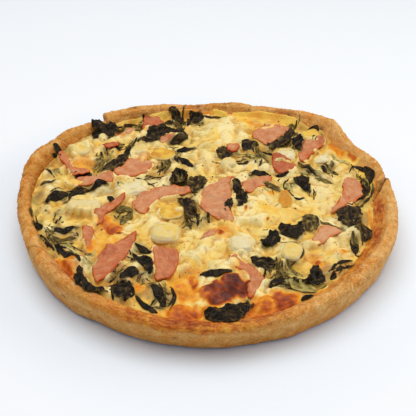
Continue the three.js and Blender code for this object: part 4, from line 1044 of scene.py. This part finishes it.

# Round the leaves and strands: a mask for painted shade beside them and for the stains they leave.
leafShadow = blurMap(np.maximum(covers["leaf"]["mask"] * 0.9, strandMask), 1.5)
leafStainAndShade = np.clip(leafShadow * 1.1 + 0.2 * noiseMap(41, 2.5) * (blurMap(strandMask, 5) > 0.04), 0, 1)


# The colour of the custard's top: streaks and patches laid over one another, with painted shade in its
# hollows, creases and pits, beside the leaves and along the pastry wall, painted highlight on its bumps and
# painted light on the film at the back.
def paintCustard():
    linear = {name: np.array(tint(*shade)[:3]) for name, shade in bakedTints.items() if name != "roasted"}
    colours = np.tile(linear["cream"], (cells, cells, 1))

    def lay(name, share):
        colours[:] += np.clip(share, 0, 1)[..., None] * (linear[name] - colours)

    def layStreaks(streaks):
        for name, strength, seed, size, pull, start, full in streaks:
            lay(name, strength * smoothStep(swirlMap(seed, size, pull), start, full))

    layStreaks(broadStreaks)
    lay("honey", 0.5 * smoothStep(-marble, 0.5, 1.5))
    lay("white", 0.8 * smoothStep(marble, 0.2, 1.1))
    layStreaks(fineStreaks)
    juice = blurMap(covers["ham"]["mask"].astype(float), 2.2)
    lay("honey", 1.0 * juice * smoothStep(noiseMap(95, 3.0), -0.2, 1.2))
    for name in ("grey", "white", "butter", "honey", "orange", "tan", "olive", "rust"):
        edge = 0.30 * noiseMap(70 + len(name), 1.8) + 0.22 * noiseMap(80 + len(name), 4.0)
        lay(name, 0.9 * spotMap(custardPatches[name], edge, soft=0.55))
    # Painted shade: tan in the hollows of the relief and in its creases; painted highlight: white on its
    # bumps.
    hollow = blurMap(custardMap, 1.6) - custardMap
    lay("tan", 0.75 * smoothStep(hollow, 0.05, 0.8))
    lay("white", 0.5 * smoothStep(-hollow, 0.1, 0.8))
    lay("tan", 0.3 * folds)
    lay("honey", 0.5 * smoothStep(-curds, -0.35, 0.0))
    # Painted shade in the pits.
    lay("tan", 0.6 * pitMap)
    # Olive and moss round the leaves: stains from them and painted shade beside them.
    lay("olive", leafStainAndShade * smoothStep(noiseMap(66, 1.4) + 1.5 * leafStainAndShade, 0.2, 1.6) * 0.9)
    lay("moss", smoothStep(leafStainAndShade + 0.25 * noiseMap(67, 1.2), 0.55, 1.1) * 0.7)
    # Along the pastry wall: butter, then tan, and on the left olive, for browned custard and for painted
    # shade where it meets the crust.
    rimBand = smoothStep(planReach / fillingReach + 0.012 * noiseMap(68, 3.0), 0.955, 1.0)
    lay("butter", 0.7 * rimBand)
    lay("tan", 0.8 * rimBand * smoothStep(noiseMap(69, 2.0), -0.8, 0.8))
    left = smoothStep(np.abs(planAngle), 110, 130)
    lay("olive", 0.7 * rimBand * left * smoothStep(noiseMap(93, 2.5), -0.4, 1.2))
    # What clings to the wall at the back, by angle: like pastry to 55, bright yellow painted lighter than
    # it is, as light against the shade there, to 90, seared to 100.
    back = smoothStep(planCling, 2, 5) * smoothStep(planReach - fillingReach, -3, 1)
    lay("butter", back)
    lay("honey", 0.8 * back * smoothStep(noiseMap(91, 6.0), -0.6, 1.0))
    paintedLightArc = smoothStep(planAngle, 52, 60) * smoothStep(-planAngle, -94, -84)
    # Painted light: the film in this arc is painted lighter than it is, against the shade on the wall.
    lay("paintedLightYellow", 0.85 * back * paintedLightArc)
    seared = smoothStep(planAngle, 87, 91) * smoothStep(-planAngle, -105, -100)
    lay("orange", back * np.maximum(0.75 * seared, 0.5 * smoothStep(noiseMap(90, 6.0), 0.4, 1.6)))
    lay("rust", 0.5 * back * seared * smoothStep(noiseMap(94, 2.0), 0.0, 1.0))
    pastryLike = smoothStep(-planAngle, -57, -52) * smoothStep(planAngle, 36, 44) * back
    lay("tan", 0.9 * pastryLike)
    lay("olive", 0.7 * pastryLike * smoothStep(noiseMap(92, 2.5), -0.4, 0.9))
    reach = np.interp(planAngle, clingAngles, clingReach)
    edge = (planReach - fillingReach) / reach + 0.25 * noiseMap(96, 2.0)
    lay("pastry", 0.8 * smoothStep(edge, 0.6, 1.05) * smoothStep(planCling, 1, 3) * (1 - 0.8 * paintedLightArc))
    heat = browned * (1 + 0.10 * noiseMap(45, 1.0) + 0.12 * noiseMap(46, 3.0))
    places, shades = zip(*bakedTints["roasted"])
    shades = np.array([tint(*shade)[:3] for shade in shades])
    roasted = np.stack([np.interp(heat, places, shades[:, k]) for k in range(3)], -1)
    colours += smoothStep(heat, 0.1, 0.42)[..., None] * (roasted - colours)
    return colours


# The radius of the filling at each angle, read off the node.
def fillingRadius(angles):
    reach = np.arange(95, 136, plan["cell"] / 2)
    x, y = np.outer(np.cos(angles), reach), np.outer(np.sin(angles), reach)
    inside = sampleMap(custardMask.astype(float), x, y)
    radius = reach[np.argmax(inside < 0.5, axis=1)]
    wide = np.concatenate([radius[-4:], radius, radius[:4]])
    return np.convolve(wide, np.ones(9) / 9, "valid")


roundAngles = np.arange(721) * math.pi / 360
roundReach = fillingRadius(roundAngles[:-1])
fillingReach = np.interp(planAngle % 360, np.degrees(roundAngles), [*roundReach, roundReach[0]])
custardPaint = paintCustard()


def custardMaterial():
    material, tree, shader = startMaterial("bakedCustard", 0.4, 0.1, (1.0, 0.6, 0.2), 1.2, 0.2)
    fine = ramp(tree, grain(tree, 1.0, 4.0), [(0.3, (226, 216, 190)), (0.48, (255, 255, 255)),
                                              (0.7, (255, 252, 244))])
    base = mixTints(tree, 0.8, readValue(tree, "tint", "Color"), fine, "MULTIPLY")
    rough = ramp(tree, grain(tree, 4.0, 2.0), [(0.3, (110, 110, 110)), (0.7, (185, 185, 185))])
    setShader(tree, shader, Base_Color=base, Roughness=rough,
              Normal=bump(tree, grain(tree, 0.8, 4.0), 0.2, 0.6))
    return material


def buildCustard():
    rings = custard["rings"]
    xs, ys, counts = [np.zeros(1)], [np.zeros(1)], [1]
    for ring in range(1, rings + 1):
        angles = np.arange(6 * ring) * 2 * math.pi / (6 * ring)
        turned = (np.degrees(angles) + 180) % 360 - 180
        radius = (fillingRadius(angles) + np.interp(turned, clingAngles, clingReach)) * ring / rings
        xs.append(radius * np.cos(angles))
        ys.append(radius * np.sin(angles))
        counts.append(6 * ring)
    starts = np.concatenate([[0], np.cumsum(counts)])
    x, y = np.concatenate(xs), np.concatenate(ys)
    z = sampleMap(custardMap, x, y)
    faces = []
    for ring in range(1, rings + 1):
        count, fewer = 6 * ring, 6 * (ring - 1)
        step = np.arange(count)
        side = step // ring
        outer = starts[ring] + step
        following = starts[ring] + (step + 1) % count
        inner = starts[ring - 1] + (step - side) % max(fewer, 1)
        innerNext = starts[ring - 1] + (step - side + 1) % max(fewer, 1)
        faces.append(np.stack([inner, outer, following], 1))
        mid = step % ring != ring - 1
        faces.append(np.stack([inner, following, innerNext], 1)[mid])
    rim = starts[rings] + np.arange(6 * rings)
    z[rim] -= custard["rimDrop"]        # the edge goes into the pastry
    scale = (np.hypot(x[rim], y[rim]) - custard["foot"]) / np.hypot(x[rim], y[rim])
    base = len(x) + np.arange(len(rim))
    x, y = np.concatenate([x, x[rim] * scale, [0]]), np.concatenate([y, y[rim] * scale, [0]])
    z = np.concatenate([z, np.full(len(rim) + 1, custard["floor"])])
    nextRim, nextBase = np.roll(rim, -1), np.roll(base, -1)
    faces += [np.stack([rim, base, nextBase], 1), np.stack([rim, nextBase, nextRim], 1),
              np.stack([base, np.full(len(rim), len(x) - 1), nextBase], 1)]
    speckled = np.clip(0.35 + 0.5 * sampleMap(noiseMap(51, 12.0), x, y), 0, 1) * (z > 15)
    colours = np.stack([sampleMap(custardPaint[..., k], x, y) for k in range(3)], 1)
    return makePiece("custardFilling", np.stack([x, y, z], 1), np.concatenate(faces), custardMaterial(),
                     "custard", ["custard"], {"tint": colours, "speckle": speckled})


filling = buildCustard()
print("custard:", countFaces([filling]), "faces")


# Sheets: ham and leaves, refined from the upper faces of their nodes.

# The outline of some triangles that join up into one sheet, corner by corner.
def sheetOutline(points, triangles):
    sides = {(start, end): True for face in triangles for start, end in zip(face, np.roll(face, -1))}
    following = {start: end for start, end in sides if (end, start) not in sides}
    loop = [next(iter(following))]
    while following[loop[-1]] != loop[0]:
        loop.append(following[loop[-1]])
    return points[loop][:, :2]


def nearestDistance(points, others):
    return np.hypot(*(points[:, None] - others[None]).transpose(2, 0, 1)).min(1)


# Staggered points inside an outline, clear of its edge.
def pointsInside(outline, spacing):
    low, high = outline.min(0), outline.max(0)
    x, y = np.meshgrid(np.arange(low[0], high[0], spacing), np.arange(low[1], high[1], spacing * 0.87))
    x[1::2] += spacing / 2
    grid = np.stack([x.ravel(), y.ravel()], 1)
    crossing = np.zeros(len(grid), bool)
    for (x0, y0), (x1, y1) in zip(outline, np.roll(outline, -1, 0)):
        if y0 != y1:
            beside = (y0 > grid[:, 1]) != (y1 > grid[:, 1])
            crossing ^= beside & (grid[:, 0] < x0 + (grid[:, 1] - y0) * (x1 - x0) / (y1 - y0))
    return grid[crossing & (nearestDistance(grid, outline) > 0.6 * spacing)]


# Evens out the heights of a mesh's points with those of their neighbours.
def evenHeights(height, faces, times):
    pairs = np.unique(np.sort(np.vstack([faces[:, [0, 1]], faces[:, [1, 2]], faces[:, [2, 0]]]), 1), axis=0)
    degree = np.bincount(pairs.ravel(), minlength=len(height))
    for _ in range(times):
        total = np.zeros(len(height))
        np.add.at(total, pairs[:, 0], height[pairs[:, 1]])
        np.add.at(total, pairs[:, 1], height[pairs[:, 0]])
        height = 0.5 * height + 0.5 * total / np.maximum(degree, 1)
    return height


# A fine flat mesh over a node's outline, with its height and the distance to its edge.
def fineSheet(name, kind):
    spacing, rounded = kind["spacing"], kind["cornerRounding"]
    points, corners = mergedTriangles(name)
    a, b, c = (points[corners[:, k]] for k in range(3))
    area = (b[:, 0] - a[:, 0]) * (c[:, 1] - a[:, 1]) - (b[:, 1] - a[:, 1]) * (c[:, 0] - a[:, 0])
    upper = corners[area > 1e-3]
    outline = sheetOutline(points, upper)
    ahead = np.roll(outline, -1, 0)
    outline = np.stack([(1 - rounded) * outline + rounded * ahead,
                        rounded * outline + (1 - rounded) * ahead], 1).reshape(-1, 2)
    outline = np.vstack([outline, outline[:1]])
    outline = evenSteps(outline, lambda length: round(length / spacing), closed=True)
    outline += kind["rag"] * np.stack([hills(outline, kind["ragSize"], seed, 2) for seed in (3.0, 8.0)], 1)
    flat = np.vstack([outline, pointsInside(outline, spacing)])
    made = geometry.delaunay_2d_cdt([Vector(p) for p in flat], [], [list(range(len(outline)))], 1, 1e-5)
    flat = np.array([tuple(p) for p in made[0]])
    faces = np.array([face for face in made[2] if len(face) == 3])
    tree = BVHTree.FromPolygons(points.tolist(), upper.tolist())
    height = np.array([(tree.ray_cast(Vector((x, y, 60)), Vector((0, 0, -1)))[0]
                        or tree.find_nearest(Vector((x, y, 24)))[0]).z for x, y in flat])
    return flat, evenHeights(height, faces, kind["settle"]), faces, nearestDistance(flat, outline)


# Closes a sheet into a thin solid with a rounded edge.
def thickSheet(flat, height, faces, edge, thickness, rounding):
    share = np.clip(edge / rounding, 0, 1)
    thick = thickness * np.maximum(0.22, np.sqrt(share * (2 - share)))
    upper = height - 0.45 * (thickness - thick)
    lower = upper - thick
    count = len(flat)
    points = np.vstack([np.column_stack([flat, upper]), np.column_stack([flat, lower])])
    sides = {(a, b) for face in faces for a, b in zip(face, np.roll(face, -1))}
    rim = np.array([(a, b) for a, b in sides if (b, a) not in sides])
    walls = np.column_stack([rim[:, 0] + count, rim[:, 1] + count, rim[:, 1], rim[:, 0]])
    return points, [*faces.tolist(), *(faces[:, ::-1] + count).tolist(), *walls.tolist()]


# Soft noise at each point, about -0.5 to 0.5.
def hills(flat, size, seed, detail=1):
    total = np.zeros(len(flat))
    for level in range(detail):
        scale = size / 2 ** level
        total += np.array([noise.noise(Vector((x / scale, y / scale, seed + level * 3.1)))
                           for x, y in flat]) / 2 ** level
    return total


ham = {
    "spacing": 0.8, "settle": 10, "thickness": 1.5, "rounding": 0.8,
    "cornerRounding": 0.15, "rag": 0.5, "ragSize": 3.2,
    "warp": 0.5, "warpSize": 9.0, "curl": 0.55, "curlWidth": 2.4, "highest": 2.6,
    "inset": {"ham_01": 3.0},        # kept back from the wall
    # How pink each slice is, by node.
    "redness": {
        "ham_01": 0.8, "ham_02": 0.8, "ham_04": 0.6, "ham_08": 0.6, "ham_09": 0.9, "ham_11": 0.45,
        "ham_14": 0.65, "ham_15": 0.7, "ham_16": 0.75, "ham_17": 0.7, "ham_18": 0.65, "ham_19": 0.3,
    },
    "usualRedness": 0.5,
}


def hamMaterial():
    material, tree, shader = startMaterial("roastedHam", 0.4, 0.12, (1.0, 0.35, 0.2), 1.5, 0.2)
    rim, red = readValue(tree, "rim"), readValue(tree, "red")
    fibre = clouds(tree, 0.9, 4.0, readValue(tree, "flow", "Vector"))
    tone = maths(tree, "ADD", maths(tree, "ADD", red, clouds(tree, 6.0)), fibre)
    base = ramp(tree, tone, [(0.0, (226, 178, 132)), (0.35, (214, 152, 106)), (0.65, (202, 126, 80)),
                             (1.0, (184, 94, 56))])
    browned = maths(tree, "MULTIPLY", rim, maths(tree, "ADD", 1.0, fibre), clamp=True)
    browned = ramp(tree, browned, [(0.0, (255, 255, 255)), (0.3, (255, 214, 164)), (0.65, (238, 150, 92)),
                                   (1.0, (176, 88, 50))])
    setShader(tree, shader, Base_Color=mixTints(tree, 1.0, base, browned, "MULTIPLY"),
              Normal=bump(tree, grain(tree, 1.0), 0.15, 0.5))
    return material


def buildHam(name, material, number):
    flat, height, faces, edge = fineSheet(name, ham)
    far = np.hypot(*flat.T)        # what reaches past the custard folds up at the wall
    limit = sampleMap(fillingReach, *flat.T) - ham["inset"].get(name, 0)
    flat = flat * (np.where(far > limit, limit + 0.12 * (far - limit), far) / far)[:, None]
    bed = sampleMap(custardMap, *flat.T)
    height = np.minimum(height, bed + ham["highest"]) + ham["warp"] * hills(flat, ham["warpSize"], number)
    height += ham["curl"] * np.exp(-(edge / ham["curlWidth"]) ** 2) * (0.2 + hills(flat, 7.0, number + 40))
    bare = 1 - sampleMap(overrun, *flat.T)        # where custard has run over it, it sinks
    height = np.maximum(height, bed + 0.5 * bare - 1.2 * (1 - bare)) - 1.5 * (1 - bare)
    points, faces = thickSheet(flat, height, faces, edge, ham["thickness"], ham["rounding"])
    rim = np.exp(-edge / (0.5 + 1.6 * np.abs(hills(flat, 6.0, number + 80))))
    rim *= 0.42 + 0.58 * smoothStep(hills(flat, 9.0, number + 20), -0.1, 0.35)
    rim = np.concatenate([rim, np.maximum(rim, 0.4)])
    red = np.full(len(rim), ham["redness"].get(name, ham["usualRedness"]))
    angle = 1.4 + 0.9 * math.sin(number * 2.4)        # the way the fibres run
    along = points[:, :2] @ np.array([math.cos(angle), math.sin(angle)])
    aside = points[:, :2] @ np.array([-math.sin(angle), math.cos(angle)])
    flow = np.column_stack([along / 5, aside, points[:, 2]]) * metre
    return makePiece("hamSlice" + name[-2:], points, faces, material, "ham", [name],
                     {"rim": rim, "red": red, "flow": flow})


hamFinish = hamMaterial()
slices = [buildHam(name, hamFinish, number) for number, name in enumerate(hamNames)]
print("ham:", countFaces(slices), "faces")


leaf = {
    "spacing": 0.65, "settle": 6, "thickness": 0.5, "rounding": 0.5,
    "cornerRounding": 0.2, "rag": 1.5, "ragSize": 3.6,
    "crinkle": 1.3, "crinkleSize": 3.6, "curl": 1.2, "curlWidth": 1.8, "vein": 0.35,
    # Tone goes from 0, black, to 1, olive, and middle is added to it there. Hollow is the depth of
    # a dip inside a lifted edge, peak a ridge's height, and stretch a leaf's length to the front.
    "looks": {
        "leaf_01": {"tone": 0.3, "peak": 1.5}, "leaf_04": {"tone": 0.1, "middle": 0.7, "hollow": 2.2},
        "leaf_05": {"tone": 0.5}, "leaf_06": {"tone": 0.3}, "leaf_07": {"tone": 0.45},
        "leaf_08": {"tone": 0.3}, "leaf_09": {"tone": 0.15}, "leaf_10": {"tone": 0.62},
        "leaf_11": {"tone": 0.1, "peak": 1.2, "stretch": 1.35}, "leaf_12": {"tone": 0.05, "peak": 1.5},
        "leaf_14": {"tone": 0.08, "peak": 1.2}, "leaf_15": {"peak": 1.5}, "leaf_16": {"tone": 0.3},
        "leaf_17": {"tone": 0.0, "peak": 1.2}, "leaf_20": {"tone": 0.32},
        "leaf_21": {"tone": 0.0, "peak": 1.5}, "leaf_22": {"tone": 0.0, "peak": 1.5},
        "leaf_23": {"tone": 0.3}, "leaf_24": {"tone": 0.0, "peak": 3.5}, "leaf_25": {"tone": 0.0},
        "leaf_26": {"tone": 0.05, "hollow": 1.2},
    },
    "usualTone": 0.2,
}


def leafMaterial():
    material, tree, shader = startMaterial("wiltedLeaf", 0.32, gloss=0.17)
    shader.inputs["Specular Tint"].default_value = (1.0, 0.84, 0.6, 1)
    tone = maths(tree, "MULTIPLY", readValue(tree, "tone"), 0.5)
    tone = addUp(tree, tone, (clouds(tree, 4.0), 0.5), (clouds(tree, 1.2), 0.4))
    base = ramp(tree, tone, [(0.0, (12, 7, 3)), (0.14, (34, 22, 10)), (0.27, (68, 48, 22)),
                             (0.42, (100, 82, 36)), (0.6, (150, 130, 62)), (0.85, (206, 190, 118))])
    setShader(tree, shader, Base_Color=base, Normal=bump(tree, grain(tree, 1.3), 0.4, 0.7))
    return material


def buildLeaf(name, material, number):
    flat, height, faces, edge = fineSheet(name, leaf)
    look = leaf["looks"].get(name, {})
    flat[:, 1] = flat[:, 1].max() + (flat[:, 1] - flat[:, 1].max()) * look.get("stretch", 1)
    middle = flat.mean(0)
    along = np.linalg.eigh(np.cov((flat - middle).T))[1][:, 1]
    forward = (flat - middle) @ along
    aside = (flat - middle) @ np.array([-along[1], along[0]])
    deep = edge / max(edge.max(), 1)
    drawnOut = np.column_stack([forward / 2.2, aside])
    ridges = 1 - np.abs(hills(drawnOut, leaf["crinkleSize"], number * 5.3, 2)) * 1.8
    height += leaf["crinkle"] * (ridges - 0.5)
    height += leaf["curl"] * np.exp(-(edge / leaf["curlWidth"]) ** 2) * hills(flat, 6.0, number + 9)
    height += look.get("peak", 0) * np.exp(-(aside / 2.2) ** 2) * np.minimum(1, deep * 2)
    height += look.get("hollow", 0) * (np.exp(-(edge / 2.0) ** 2) - 0.5 * deep)
    height -= leaf["vein"] * np.exp(-(aside / 0.45) ** 2)
    veins = np.abs(((np.abs(aside) * 0.8 - forward) / 4.2) % 1 - 0.5) * 2
    height -= 0.5 * leaf["vein"] * np.exp(-(veins / 0.22) ** 2)
    height = np.maximum(height, sampleMap(surfaceMap, *flat.T) + 0.3)
    points, faces = thickSheet(flat, height, faces, edge, leaf["thickness"], leaf["rounding"])
    tone = look.get("tone", leaf["usualTone"]) + 0.5 * hills(flat, 4.0, number + 60, 2)
    # The 0.65 term paints the ridges paler: painted highlight.
    tone += look.get("middle", 0.0) * smoothStep(deep, 0.2, 0.8) + 0.65 * np.maximum(ridges, 0) ** 3
    tone += 0.35 * np.exp(-edge / 0.5) - 0.2
    return makePiece("wiltedLeaf" + name[-2:], points, faces, material, "leaf", [name],
                     {"tone": np.tile(tone, 2)})


leafFinish = leafMaterial()
leaves = [buildLeaf(name, leafFinish, number) for number, name in enumerate(leafNames)]
print("leaves:", countFaces(leaves), "faces")


# Strands.

def buildRibbon(path, width, number, thickness, lift, crinkle, cup, across):
    line = smoothLine(path, strand["step"])
    count = len(line)
    ahead = np.gradient(line, axis=0)
    ahead /= np.hypot(*ahead.T)[:, None]
    aside = np.stack([-ahead[:, 1], ahead[:, 0]], 1)
    place = np.linspace(0, 1, count)
    taper = np.sin(math.pi * np.clip(place * 0.94 + 0.03, 0, 1)) ** 0.6
    wobble = 1 + 0.4 * hills(line, 5.0, number * 1.7)
    half = width / 2 * taper * wobble
    steps = np.linspace(-1, 1, across)
    flat = (line[:, None] + aside[:, None] * (half[:, None] * steps)[:, :, None]).reshape(-1, 2)
    u = np.tile(steps, count)
    ridges = 1 - np.abs(hills(flat, 3.2, number * 4.1, 2)) * 1.8
    lengthwise = np.column_stack([np.repeat(np.arange(count) * strand["step"] / 7, across), u * width / 2])
    streak = hills(lengthwise, 1.1, number * 2.3, 2)
    height = sampleMap(surfaceMap, *flat.T) + lift + cup * width * u * u
    height += crinkle * (0.7 * (ridges - 0.55) + 0.6 * streak)
    height += 0.5 * crinkle * u * np.repeat(hills(line, 4.0, number + 33.0), across)
    start = (np.arange(count - 1)[:, None] * across + np.arange(across - 1)[None]).ravel()
    along = start + across
    faces = np.vstack([np.stack([along + 1, along, start], 1), np.stack([start + 1, along + 1, start], 1)])
    edge = np.minimum((1 - np.abs(u)) * np.repeat(half, across),
                      np.repeat(np.minimum(place, 1 - place) * (count - 1) * strand["step"], across))
    points, made = thickSheet(flat, height, faces, edge, thickness, min(0.5, thickness))
    return points, made, np.tile(streak, 2)


# All the ribbons of one kind as one piece; the third number of each row goes to an attribute.
def buildStrands(name, rows, slot, material, label, **look):
    points, faces, values = [], [], []
    for number, (path, width, value) in enumerate(rows):
        made, skin, streak = buildRibbon(path, width, number + 1, **look)
        offset = sum(len(part) for part in points)
        faces += [[corner + offset for corner in face] for face in skin]
        points.append(made)
        values.append(value + strand["streaks"] * streak)
    points = np.vstack(points)
    return makePiece(name, points, faces, material, slot, ["custard"],
                     {label: np.concatenate(values), "rim": np.zeros(len(points)), "flow": points * metre})


strands = buildStrands("leafStrands", strandRows, "leaf", leafFinish, "tone", **strand["ribbon"])
shredded = buildStrands("leafShreds", shredRows, "leaf", leafFinish, "tone", **shreds["ribbon"])

# Small scraps of ham: middle line, width and how pink.
scrap = {
    "rows": [([(-66, 78), (-64, 86), (-62, 94)], 7, 0.4), ([(-39, 73), (-33, 78), (-28, 82)], 7, 0.5),
             ([(-3, -52), (1, -45), (6, -38)], 7, 0.45)],
    "ribbon": {"thickness": 1.2, "lift": 0.5, "crinkle": 0.3, "cup": 0.02, "across": 7},
}
scraps = buildStrands("hamScraps", scrap["rows"], "ham", hamFinish, "red", **scrap["ribbon"])
print("strands:", countFaces([strands]), "faces, shreds:", countFaces([shredded]), "faces")


# Potato and onion.

chunk = {
    "voxel": 0.6, "smooth": 1,
    "relief": {"Lump Height": 0.6, "Lump Size": 6.0, "Grain Height": 0.14, "Grain Size": 1.6,
               "Crumb Height": 0.8, "Crumb Size": 8.0},
    # Height and size of the lumps on the wrinkled ones.
    "wrinkled": {"potato_10": (1.4, 4.0), "onion_02": (1.0, 3.5), "potato_06": (1.1, 4.5),
                 "potato_05": (1.0, 5.0), "potato_01": (0.9, 5.0)},
    # From 0 for white to 1 for golden.
    "tone": {"potato_03": 0.9, "potato_07": 0.85, "potato_05": 0.3, "potato_10": 0.75, "potato_06": 0.1,
             "potato_09": 0.12, "potato_04": 0.4, "onion_01": 0.1, "onion_02": 0.0},
    "usualTone": 0.5,
    # A golden sliver: middle line, width and tone.
    "sliver": [([(55, 12), (55.5, 1), (56, -10)], 9.5, 1.3)],
    "ribbon": {"thickness": 1.0, "lift": 1.0, "crinkle": 0.2, "cup": 0.02, "across": 9},
}


def chunkMaterial():
    material, tree, shader = startMaterial("cookedPotato", 0.4, 0.2, (1.0, 0.75, 0.35), 2.0, 0.2)
    normal = addNode(tree, "ShaderNodeNewGeometry").outputs["Normal"]
    upward = addNode(tree, "ShaderNodeSeparateXYZ", {0: normal}).outputs[2]
    flatTop = addNode(tree, "ShaderNodeMapRange", {0: upward, 1: 0.55, 2: 0.9, 3: 0.35, 4: 1.0}).outputs[0]
    tone = maths(tree, "MULTIPLY", readValue(tree, "golden"), flatTop)
    tone = addUp(tree, tone, (clouds(tree, 5.0), 0.9))
    base = ramp(tree, tone, [(0.0, (234, 220, 176)), (0.3, (230, 208, 146)), (0.55, (234, 202, 112)),
                             (0.8, (236, 192, 74)), (1.0, (212, 144, 44))])
    smudge = ramp(tree, grain(tree, 3.0, 4.0), [(0.56, (255, 255, 255)), (0.75, (232, 220, 174))])
    setShader(tree, shader, Base_Color=mixTints(tree, 1.0, base, smudge, "MULTIPLY"),
              Normal=bump(tree, grain(tree, 1.2, 3.0), 0.15, 0.4))
    return material


def buildChunk(name, material, number):
    slot = name.split("_")[0]
    piece = makePiece(slot + "Piece" + name[-2:], *mergedTriangles(name), material, slot, [name])
    remesh = piece.modifiers.new("finer", "REMESH")
    remesh.mode, remesh.voxel_size = "VOXEL", chunk["voxel"] * metre
    soften = piece.modifiers.new("rounder", "SMOOTH")
    soften.iterations, soften.factor = chunk["smooth"], 0.5
    settleModifiers(piece)
    for label, value in (("relief", 1.0), ("golden", chunk["tone"].get(name, chunk["usualTone"]))):
        setValues(piece.data, label, np.full(len(piece.data.vertices), value))
    relief = dict(chunk["relief"])
    if name in chunk["wrinkled"]:
        relief["Lump Height"], relief["Lump Size"] = chunk["wrinkled"][name]
    return carveRelief(piece, relief, number)


chunkFinish = chunkMaterial()
chunks = [buildChunk(name, chunkFinish, number) for number, name in enumerate(chunkNames)]
sliver = buildStrands("goldenSliver", chunk["sliver"], "potato", chunkFinish, "golden", **chunk["ribbon"])
print("chunks:", countFaces(chunks), "faces")


# Specks and crumbs.

def speckMaterial(name, dark, light, roughness):
    material, tree, shader = startMaterial(name, roughness)
    setShader(tree, shader, Base_Color=mixTints(tree, grain(tree, 2.5, 2.0), tint(*dark), tint(*light)))
    return material


# Each kind: how many to a square metre at most, and its longest piece in metres.
bits = {
    "herbs": {"Bits per Area": 1.4e4, "Bit Length": 0.0013, "Flatness": 0.35, "Seed": 4},
    "roasted": {"Bits per Area": 0.9e4, "Bit Length": 0.001, "Flatness": 0.3, "Seed": 9},
    "crumbs": {"Bits per Area": 1.75e5, "Bit Length": 0.0011, "Flatness": 0.4, "Sink": 0.00005, "Seed": 2},
}


def buildBits(name, surface, slot, replaced, material, values):
    carrier = bpy.data.objects.new(name, surface.data.copy())
    bpy.context.scene.collection.objects.link(carrier)
    carrier["slot"], carrier["replaced"] = slot, replaced
    return applyTree(carrier, scatterTree, {"Material": material, **values})


herbFlecks = buildBits("herbFlecks", filling, "leaf", ["custard"],
                       speckMaterial("herbSpecks", (34, 28, 22), (98, 88, 48), 0.5), bits["herbs"])
roastFlecks = buildBits("roastedFlecks", filling, "custard", ["custard"],
                        speckMaterial("roastedSpecks", (120, 52, 26), (196, 118, 56), 0.5), bits["roasted"])
crumbs = buildBits("pastryCrumbs", pastry, "crust", ["crust"], pastry.data.materials[0], bits["crumbs"])
print("bits:", countFaces([herbFlecks, roastFlecks, crumbs]), "faces")

for piece in [pastry, filling, strands, shredded, scraps, herbFlecks, roastFlecks, crumbs, sliver,
              *slices, *leaves, *chunks]:
    declarePiece(piece)


# Floor, light and camera.

studio = {
    "floorSize": 6.0, "floor": (248, 250, 252), "floorNear": (236, 246, 255), "sky": 0.39,
    "skyTint": (0.85, 0.94, 1.09), "lampTint": (1.0, 0.955, 0.885),
    "camera": (0.0006, -0.432, 0.3384), "target": (0.0006, 0.0154, 0.0), "lens": 64.9, "roll": 2.1,
    # Place, aim, size and power of each soft lamp.
    "lamps": {"overhead": ((-0.15, 0.08, 1.2), (0, 0, 0), 1.2, 11.6),
              "right": ((1.1, 0.2, 0.5), (0, 0, 0.02), 0.8, 4.5)},
}


def buildStudio():
    bpy.ops.mesh.primitive_plane_add(size=studio["floorSize"])
    floor = bpy.context.object
    floor.name = "paleFloor"
    material, tree, shader = startMaterial("paleFloor", 0.55)
    # A cooler floor close by takes up the warm light that the pastry throws on it.
    away = addNode(tree, "ShaderNodeVectorMath", {0: objectPlace(tree)}, operation="LENGTH")
    pale = ramp(tree, away.outputs["Value"], [(0.135, studio["floorNear"]), (0.19, studio["floor"])])
    setShader(tree, shader, Base_Color=pale)
    floor.data.materials.append(material)
    world = bpy.data.worlds.new("softSky")
    world.use_nodes = True
    world.node_tree.nodes["Background"].inputs["Color"].default_value = (*studio["skyTint"], 1)
    world.node_tree.nodes["Background"].inputs["Strength"].default_value = studio["sky"]
    bpy.context.scene.world = world
    for name, (place, aim, size, power) in studio["lamps"].items():
        light = bpy.data.lights.new(name, "AREA")
        light.energy, light.size, light.color = power, size, studio["lampTint"]
        lamp = bpy.data.objects.new(name, light)
        lamp.location = place
        lamp.rotation_euler = (Vector(aim) - Vector(place)).to_track_quat("-Z", "Y").to_euler()
        bpy.context.scene.collection.objects.link(lamp)
    camera = bpy.data.objects.new("camera", bpy.data.cameras.new("camera"))
    camera.data.lens = studio["lens"]
    camera.location = studio["camera"]
    facing = (Vector(studio["target"]) - Vector(studio["camera"])).to_track_quat("-Z", "Y")
    roll = Euler((0, 0, math.radians(studio["roll"]))).to_quaternion()
    camera.rotation_euler = (facing @ roll).to_euler()
    bpy.context.scene.collection.objects.link(camera)
    bpy.context.scene.camera = camera
    bpy.context.scene.view_settings.view_transform = "Standard"


buildStudio()
print("studio ready")
